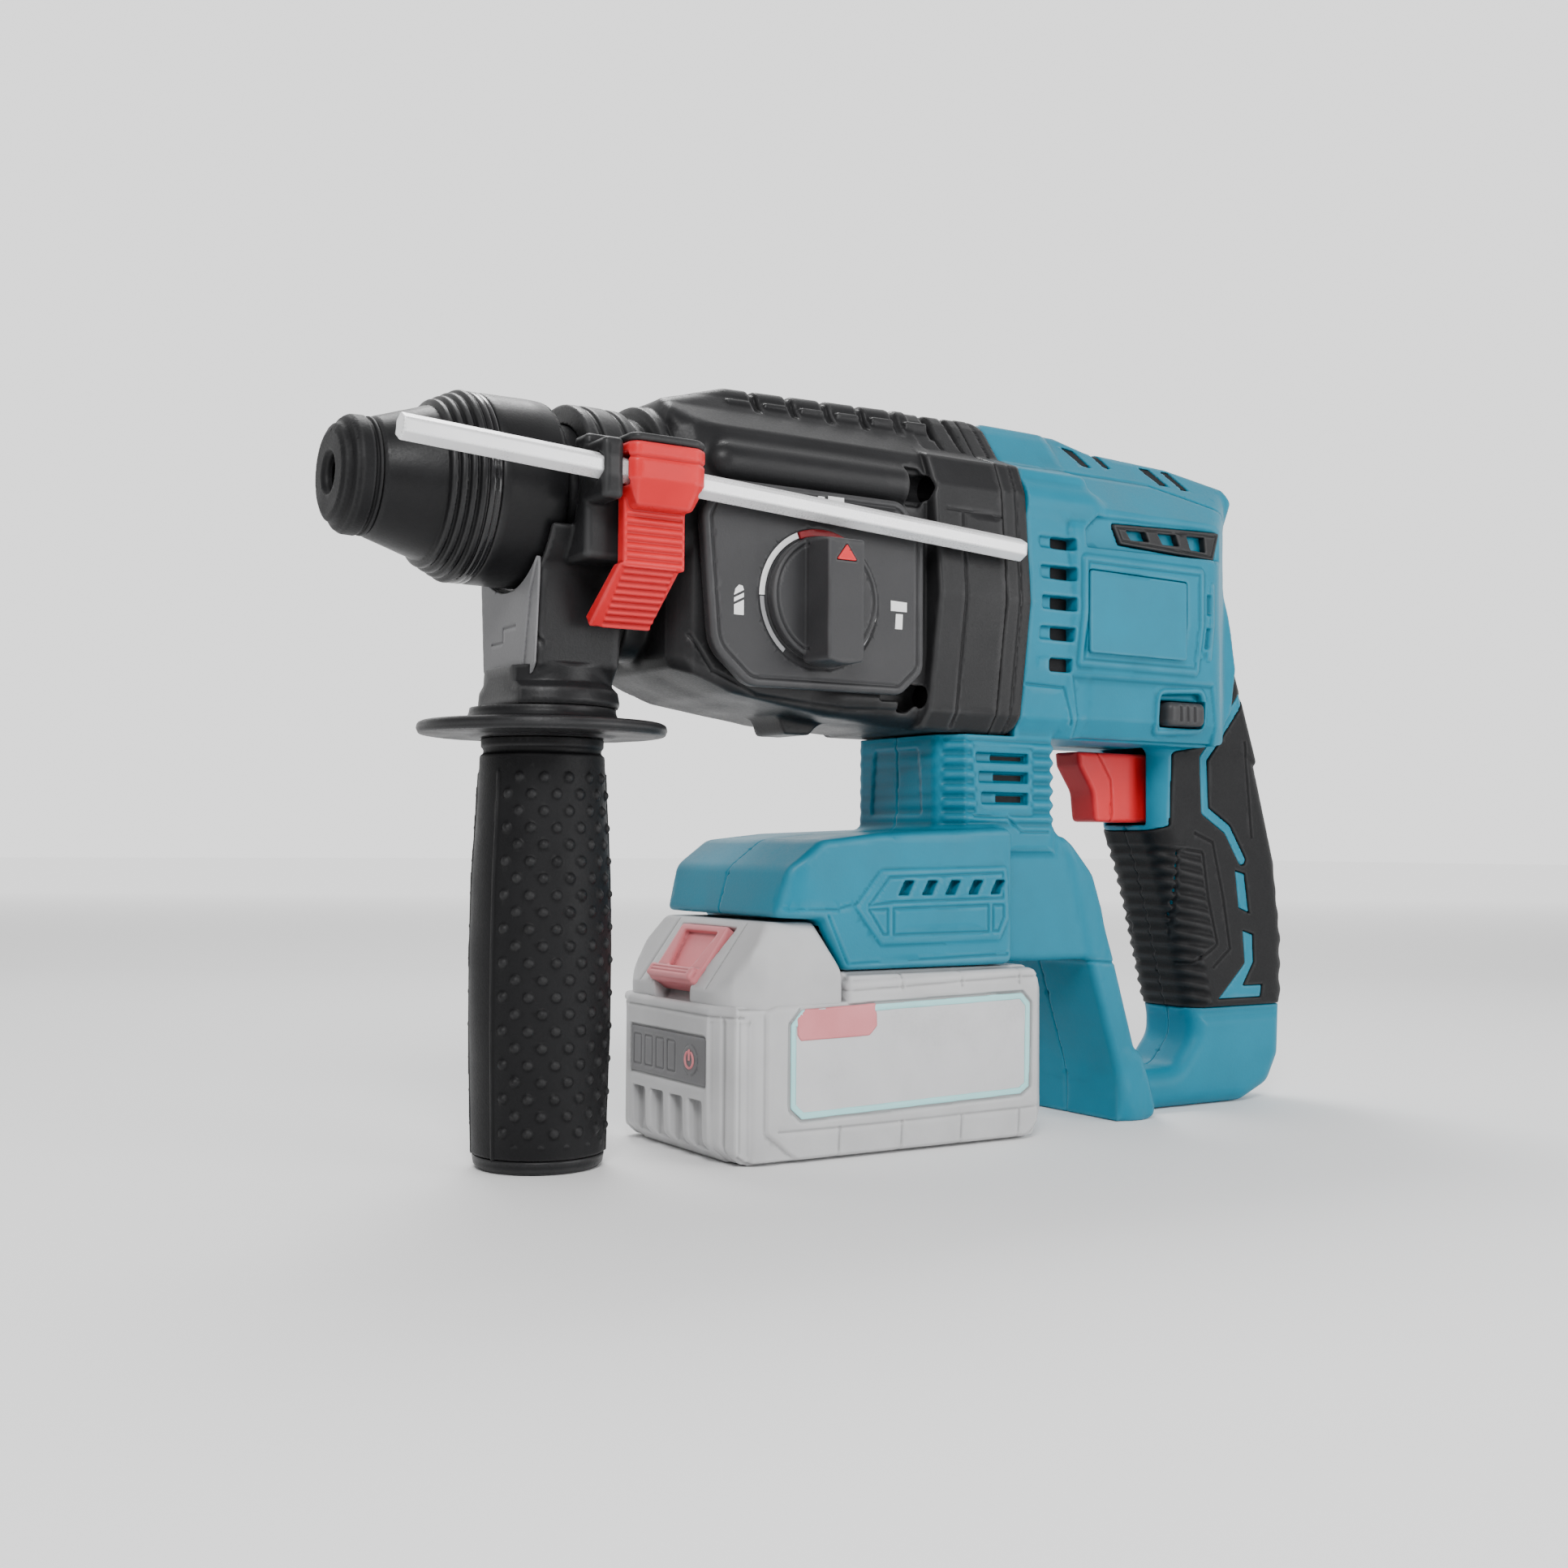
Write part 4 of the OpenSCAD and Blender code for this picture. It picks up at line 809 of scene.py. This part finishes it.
d = np.maximum(np.maximum(d, underside - f.z), f.x - 356.1)
d = both(d, f.y + middle_gap, 0.12)
slots = [side_shape(f, q, 0.4) for q in ([(283.6, 33), (289.2, 33), (293.0, 26.4), (288.4, 26.4)],
    [(294.2, 33), (298.4, 33), (302.2, 25.6), (298.6, 25.6)], [(250.8, 37), (256.4, 36), (259.4, 29.4),
    (255.2, 29.6)], [(262.6, 37), (266.6, 36), (269.2, 30.4), (265.6, 30.6)])]
slots = both(np.minimum(np.minimum(slots[0], slots[1]), np.minimum(slots[2], slots[3])), 8.5 - Y)
# painted shade: a black floor under the top slots, standing in for the dark inside seen through them
slot_shade_floor = both(d + 0.45, slots + 0.15)
slot_shade_floor = both(slot_shade_floor, -(d + 2.4))
d = cut(d, np.maximum(slots, -(d + 2.5)), 0.2)
solid("housing_left_skin", f, d, "teal_plastic", "tool", ("housing_left",))
solid("top_slots_left", f, slot_shade_floor, "shadow_black", "tool", (), pair=True)
for sx, sz, sy in screws:
    d = cut(d, rod_y(f, 4.1, sx, sz, -45, 6.4 - sy), 0.4)
solid("housing_right_skin", f, d, "teal_plastic", "tool", ("housing_right",), flip=True)

f = Field((284, -18.5, -160), (359, 0.6, 1), 0.4)
Y = -f.y
full, rub = grip_parts(f, Y)
neck = both(side_outline(f, motor_line), Y - 16.5, 6)
d = both(np.minimum(full, neck) - 0.35, rub + 0.2, 0.5)
d = both(d, -(full + 1.35))
ribs = 0.5 * np.cos((f.z + 100 + 0.18 * (f.x - 300)) * 2 * math.pi / 4.3)
pad = side_shape(f, pads, 1.5)
front_side = side_outline(f, [(280, -99), (303, -99), (316, -156), (290, -156)])
d = d + 0.6 * inside(abs(pad) - 0.4, 0.6) * inside(9 - Y)
d = d - ribs * np.maximum(inside(pad + 1.2, 1), inside(front_side, 2)) - 0.1
d = d + scored(f, [(308, -95), (316.8, -98.2), (322, -118), (325.4, -136.4), (317.2, -142.6)], 0.4, 0.6, 9,
    0.6)
back = side_path(f, [(352, -56), (359.5, -90), (361.2, -130), (360.4, -156)])
d = d - 0.35 * np.cos((f.z + 60) * 2 * math.pi / 9.2) * inside(back - 9, 4)
d = d + scored(f, [(333, -62), (336.5, -96)], 0.4, 0.6, 9, 0.6)
d = both(d, f.y + 0.01)
solid("grip_rubber_left", f, d, "black_rubber", "tool", ("grip_overmould",), pair=True)

# ---- housing trim ------------------------------------------------------------------------
f = Field((250, -36.5, -3), (305, -29.5, 10.5), 0.3)
edge = side_shape(f, [(253, 6.9), (302.3, 8.7), (299.4, -1.1), (256.4, 0.5)], 0.8)
d = both(edge, span(f.y, -34.2, -31.3), 0.5)
for shape in ([(258.6, 5.4), (267.6, 5.7), (269.4, 2.5), (261.0, 2.3)], [(273.0, 5.8), (281.6, 6.1),
        (283.3, 2.4), (275.6, 2.2)], [(286.6, 6.2), (295.0, 6.5), (295.6, 1.4), (288.6, 1.6)]):
    d = cut(d, side_shape(f, shape, 0.4), 0.4)
d = d + 0.4 * inside(abs(edge + 1.2) - 0.25, 0.4) * inside(f.y + 33)
solid("side_insert_left", f, d, "black_plastic", "tool", ("side_vent_inserts",), pair=True)
f = Field((262, -6, 29), (302, 6, 37.5), 0.3)
d = both(side_outline(f, [(264.2, 30), (299.8, 30), (299.8, 33.6), (264.2, 35.6)]), abs(f.y) - 4.9, 0.5)
for k in range(5):
    d = d + 1.5 * inside(abs(f.x - 269 - 6.6 * k) - 1.5) * inside(abs(f.y) - 3.4) * inside(32.5 - f.z)
solid("top_insert", f, d, "black_plastic", "tool", ("top_vent_insert",))
f = Field((238, -39, -39), (285, -35, -8), 0.3)
edge = side_shape(f, [(239.9, -9.9), (283.1, -10.7), (283.1, -37.1), (239.9, -36.9)], 1.2)
d = both(edge, span(f.y, -38.0, -36.65), 0.5)
solid("badge_left", f, d, "teal_plastic", "tool", ("badge_plates",), pair=True)
# painted shade: a black sheet behind the side vents, standing in for the dark inside seen through them
f = Field((218, -32.5, -47), (238, -27.5, 3), 0.4)
d = cube(f, (220, 237), (-31.2, -28.8), (-45, 1), 0.5)
solid("vent_baffle_left", f, d, "shadow_black", "tool", (), pair=True)
# painted shade: a black sheet behind the column slots, standing in for the dark inside seen through them
f = Field((198, -26.5, -91), (225, -23.6, -66), 0.4)
d = cube(f, (201, 224), (-25.2, -24.1), (-90, -68), 0.4)
solid("column_baffle_left", f, d, "shadow_black", "tool", (), pair=True)
f = Field((277, -35, -61), (300, 35, -48), 0.35)
d = cube(f, (279.6, 296.8), (-33.4, 33.4), (-58.7, -50.6), 2.2)
for k in range(3):
    rib = abs(f.x - 285 - 3.2 * k) - 0.5
    d = d + 0.6 * inside(rib, 0.6) * inside(32.0 - abs(f.y)) * inside(abs(f.z + 54.6) - 2.6)
solid("direction_bar_skin", f, d, "panel_plastic", "direction_unit", ("direction_bar",))

f = Field((261, -8, -93.5), (298.5, 8, -65.5), 0.3)
face = soft([(262.6, -67.1), (263.2, -72, 3), (269.4, -81, 7), (270.0, -87, 4), (270.6, -91.4, 2),
    (296.9, -91.4), (296.9, -67.1)], 0.6)
d = both(side_outline(f, face), abs(f.y) - 6.55, 1.5)
line = side_path(f, [(270.5, -66), (277.4, -76.5), (278.2, -88), (277.4, -92)]) - 0.35
d = d + 0.45 * inside(line, 0.5) * inside(5 - abs(f.y))
solid("trigger_skin", f, d, "red_plastic", "trigger_unit", ("trigger",))

# Screw heads on the far side: discs with a star socket
for i, (sx, sz, sy) in enumerate(screws):
    f = Field((sx - 4, sy - 8, sz - 4), (sx + 4, sy - 2.5, sz + 4), 0.25)
    u, v = f.x - sx, f.z - sz
    d = both(hyp(u, v) - 3.1, span(f.y, sy - 6.5, sy - 4.0), 0.5)
    star = hyp(u, v) - 1.35 - 0.35 * np.cos(6 * np.arctan2(v, u))
    d = cut(d, both(star, sy - 5.6 - f.y), 0.15)
    solid("housing_screw_%d" % (i + 1), f, d, "hardened_steel", "tool", ("housing_screws",))

# ---- battery -----------------------------------------------------------------------------
f = Field((103, -38.5, -193), (226.5, 38.5, -136.5), 0.5)
Y = abs(f.y)
plan = outline(soft([(105, -9), (105, 25, 2), (109, 35.2, 2), (116.5, 37.2), (218, 37.2), (225, 30.4),
    (225, -9)], 1.5), f.x, Y)
line = side_shape(f, [(100, -146.4), (112, -146.4, 3), (146.05, -146.2, 0.5), (146.05, -137.6, 1),
    (216, -137.6), (225, -145), (225, -184), (217, -192), (112, -192), (104.9, -186)], 2)
d = both(plan, line, 1.8)
d = both(d, -192 - f.z)
pad = side_shape(f, [(118.2, -148.5), (127.4, -141.0), (217.6, -138.4), (224.4, -144.6), (224.4, -182),
    (214, -190.6), (128.4, -190.6), (118.2, -182.6)], 2)
d = d + (1 - inside(pad, 1.2)) * inside(33 - Y) * inside(f.x - 225) * inside(110 - f.x)
for x0 in (143.3, 165.8, 188.3, 211):
    d = d + scored(f, [(x0, -137), (x0, -143)], 0.35, 0.55, 33, 0.6)
    d = d + scored(f, [(x0, -182.6), (x0 - 0.6, -192)], 0.35, 0.55, 33, 0.6)
crease = [(131, -143.8), (143.3, -143), (165.8, -142.4), (188.3, -141.6), (211, -141), (222, -141)]
d = d + scored(f, crease, 0.3, 0.5, 33)
d = d + scored(f, [(122, -182.4), (143, -182.6), (211, -182), (222, -181.6)], 0.3, 0.5, 33)
win = side_shape(f, [(125.2, -151.8), (129.4, -147.0), (212.4, -145.2), (216.2, -149), (215.8, -175.8),
    (211.8, -178.4), (129.6, -180.2), (125.2, -176.4)], 1.2)
d = cut(d, both(win, 36.3 - Y), 0.3)
for y0 in (-17.6, -5.9, 5.9, 17.6):
    d = cut(d, cube(f, (100, 108.6), (y0 - 4.1, y0 + 4.1), (-188.6, -174.4), 0.8), 0.5)
d = cut(d, both(front_shape(f, [(-24, -155.4), (24, -155.4), (24, -170.8), (-24, -170.8)], 1.5), f.x - 106.0),
    0.5)
d = d + 0.6 * inside(path([(-40, -149.5), (40, -149.5)], f.y, f.z) - 0.35, 0.6) * inside(f.x - 112)
d = d + 0.54 * inside(25.4 - Y, 0.8) * inside(f.x - 114) * inside(f.z + 150, 2)
d = d + 0.6 * inside(abs(Y - 30) - 0.5, 0.6) * inside(f.x - 115) * inside(f.z + 150)
for y0 in (-18, 0, 18):
    d = cut(d, cube(f, (222, 230), (y0 - 6, y0 + 6), (-182, -150), 1.2) + 100 * (f.x < 223.6), 0.6)
inner = cube(f, (112.5, 219), (-33, 33), (-187.5, -148), 5)
d = cut(d, np.minimum(inner, cube(f, (106.9, 114), (-14.8, 14.8), (-149, -140))))
solid("battery_case_skin", f, d, "pale_plastic", "battery_unit", ("battery_case",))
f = Field((104, -28, -172), (110, 28, -154), 0.3)
d = cube(f, (105.5, 106.6), (-23.4, 23.4), (-170.2, -156.0), 0.4)
for k in range(4):
    y0 = 19 - 7.2 * k
    bar = [(y0 - 2.4, -158.6), (y0 + 2.4, -158.6), (y0 + 2.4, -167.6), (y0 - 2.4, -167.6)]
    d = d + 0.45 * inside(abs(front_shape(f, bar, 0.5)) - 0.25, 0.4) * inside(f.x - 106)
ring = hyp(f.y + 14.5, f.z + 163.1)
d = d - 0.35 * inside(ring - 4.2, 0.4) * inside(f.x - 106)
solid("battery_gauge", f, d, "grey_plastic", "battery_unit", ())
f = Field((103.5, -20, -169), (107, -9, -157), 0.2)
ring = hyp(f.y + 14.5, f.z + 163.1)
gap = np.maximum(abs(f.y + 14.5) - 1.0, -163.1 - f.z)
d = both(np.maximum(abs(ring - 2.4) - 0.35, -gap), span(f.x, 104.7, 105.4), 0.1)
d = join(d, cube(f, (104.7, 105.4), (-14.85, -14.15), (-163.4, -160.0), 0.15))
solid("battery_gauge_mark", f, d, "pink_plastic", "battery_unit", ())

f = Field((104, -38, -151), (205, 38, -121), 0.45)
Y = abs(f.y)
block = side_shape(f, [(112, -150), (107.2, -147.6, 2), (106.6, -142.3, 2), (121.2, -122.6, 3),
    (137.4, -122.8, 2), (145.6, -138.6, 1), (145.6, -150)], 1)
plan = outline(soft([(104, -9), (104, 22), (110, 31, 4), (119, 36.4, 4), (146, 36.4), (146, -9)], 3), f.x, Y)
d = both(both(block, plan, 2.2), Y - 36.4 + 0.35 * np.maximum(f.z + 137, 0), 2)
d = both(d, f.x - 145.95)
tray = both(span(f.x, 144, 204), Y - 22, 0.5)
tray = both(tray, span(f.z, -137.6, -125.3), 0.5)
rail = both(both(span(f.x, 144, 204), Y - 26, 0.5), span(f.z, -131.1, -125.3), 0.5)
d = join(d, join(tray, rail))
for y0 in (-12, -4, 4, 12):
    d = cut(d, cube(f, (146, 206), (y0 - 2, y0 + 2), (-131, -120)))
t = math.radians(35.8)
u = (f.x - 113.8) * math.cos(t) - (f.z + 132.5) * math.sin(t)
w = (f.x - 113.8) * math.sin(t) + (f.z + 132.5) * math.cos(t)
hole = both(both(span(u, -6, 6.2), Y - 14.4 - 0.25 * np.maximum(w, -14), 0.8), span(w, -16.2, 9.8), 0.8)
d = cut(d, hole, 0.4)
d = d + 0.5 * inside(abs(Y - 20.5) - 0.4, 0.6) * inside(span(w, -12, 12)) * inside(f.x - 122)
solid("battery_lid_skin", f, d, "pale_plastic", "battery_unit", ("battery_lid",))
f = Field((-5, -15, -12), (7, 15, 10.5), 0.3)
d = cube(f, (-1.2, 5.6), (-14, 14), (-11, 9.2), 0.9)
d = join(d, cube(f, (-3.4, 0.5), (-13.4, 13.4), (-10.8, -6.6), 1.0), 1.0)
dish = front_shape(f, [(-10.6, 7), (10.6, 7), (7, -5.8), (-7, -5.8)], 1.5)
d = cut(d, both(dish, f.x - 0.8), 0.6)
for k in range(3):
    ridge = abs(f.z + 8.0 - 1.1 * (k - 1)) - 0.22
    d = d + 0.35 * inside(ridge, 0.4) * inside(f.x + 2.6) * inside(abs(f.y) - 11)
solid("release_button_skin", f, d, "pink_plastic", "button_unit", ("release_button",),
    place=Matrix.Translation((0.1138, 0, -0.1325)) @ Matrix.Rotation(t, 4, "Y"))
f = Field((123, -38, -182), (218, -35, -143), 0.35)
win = side_shape(f, [(126.2, -152), (130, -147.8), (212, -146.0), (215.4, -149.4), (215, -175.4),
    (211.4, -177.6), (130, -179.4), (126.2, -176)], 1)
d = both(win, span(f.y, -36.75, -36.3), 0.15)
solid("label_left", f, d, "label_film", "battery_unit", ("battery_labels",), pair=True)
border = both(np.maximum(win, -(win + 2.0)), span(f.y, -37.0, -36.4), 0.15)
solid("label_border_left", f, border, "label_cyan", "battery_unit", (), pair=True)
tab = side_shape(f, [(128.2, -150.2), (131.2, -147.6), (156, -146.9), (156.6, -153.6), (153.8, -156.4),
    (129.6, -156.8), (128.4, -155)], 0.6)
tab = both(tab, span(f.y, -37.1, -36.5), 0.15)
solid("label_tab_left", f, tab, "pink_plastic", "battery_unit", (), pair=True)

for name, ob in frame["nodes"].items():
    look = "oxide_steel" if name in ("gear_case_screws", "spindle") else record_slot[name]
    ob.data.materials.clear()
    ob.data.materials.append(MATS[look])

# ---- stage, light and camera -------------------------------------------------------------
behind = (0.53, 0.85, 0.0)
floor_z = -0.1921


def along_view(tree, coordinate, a, b, low, high):
    """A value that rises from a to b along the ground direction behind the object."""
    dot = tree.nodes.new("ShaderNodeVectorMath")
    dot.operation = "DOT_PRODUCT"
    dot.inputs[1].default_value = behind
    tree.links.new(tree.nodes.new("ShaderNodeTexCoord").outputs[coordinate], dot.inputs[0])
    return map_range(tree, dot.outputs["Value"], a, b, low, high)


stage = bpy.data.materials.new("floor")
stage.use_nodes = True
floor_shader = stage.node_tree.nodes["Principled BSDF"]
floor_shader.inputs["Base Color"].default_value = (0.93, 0.93, 0.93, 1)
floor_shader.inputs["Roughness"].default_value = 0.9
floor_shader.inputs["Emission Color"].default_value = (1, 1, 1, 1)
far_glow = along_view(stage.node_tree, "Object", 0.8, 2.6, 0.0, 0.8)
stage.node_tree.links.new(far_glow, floor_shader.inputs["Emission Strength"])
me = bpy.data.meshes.new("floor")
me.from_pydata([(x, y, floor_z) for x, y in ((-9, -9), (9, -9), (9, 9), (-9, 9))], [], [(0, 1, 2, 3)])
me.materials.append(stage)
floor = bpy.data.objects.new("floor", me)
bpy.context.scene.collection.objects.link(floor)
floor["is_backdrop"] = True
world = bpy.data.worlds.new("studio")
world.use_nodes = True
background = world.node_tree.nodes["Background"]
background.inputs["Color"].default_value = (1, 1, 1, 1)
brightness = along_view(world.node_tree, "Generated", -0.2, 0.8, 0.30, 1.7)
world.node_tree.links.new(brightness, background.inputs["Strength"])
bpy.context.scene.world = world


def lamp(name, at, target, power, size):
    light = bpy.data.lights.new(name, "AREA")
    light.energy, light.size = power, size
    ob = bpy.data.objects.new(name, light)
    ob.location = at
    way = np.array(target, float) - np.array(at, float)
    ob.rotation_euler = Vector(way).to_track_quat("-Z", "Y").to_euler()
    bpy.context.scene.collection.objects.link(ob)


lamp("key", (-0.35, -0.80, 0.60), (0.17, 0, -0.06), 10.0, 0.4)
lamp("fill", (0.80, -1.0, 0.15), (0.2, 0, -0.06), 8.0, 0.7)
lamp("rim", (0.3, 0.6, 0.9), (0.18, 0, -0.02), 7.0, 0.4)

azimuth, elevation, roll = math.radians(-32.06), math.radians(-1.98), math.radians(0.37)
level = math.cos(elevation)
forward = np.array([-math.sin(azimuth) * level, math.cos(azimuth) * level, -math.sin(elevation)])
right = np.cross(forward, [0, 0, 1])
right /= np.linalg.norm(right)
up = np.cross(right, forward)
cam_x = right * math.cos(roll) + up * math.sin(roll)
cam_y = -right * math.sin(roll) + up * math.cos(roll)
cam_at = (-0.14277, -0.46161, -0.09983)
camera = bpy.data.cameras.new("camera")
camera.lens, camera.sensor_width = 39.88, 36.0
camera.clip_start = 0.01
cam = bpy.data.objects.new("camera", camera)
m = np.eye(4)
m[:3, 0], m[:3, 1], m[:3, 2], m[:3, 3] = cam_x, cam_y, -forward, cam_at
cam.matrix_world = Matrix(m.tolist())
bpy.context.scene.collection.objects.link(cam)
bpy.context.scene.camera = cam


def plain(v):
    return [plain(a) for a in v] if hasattr(v, "__len__") else float(v)


{"at_load": plain(start_bounds), "at_end": plain(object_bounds())}
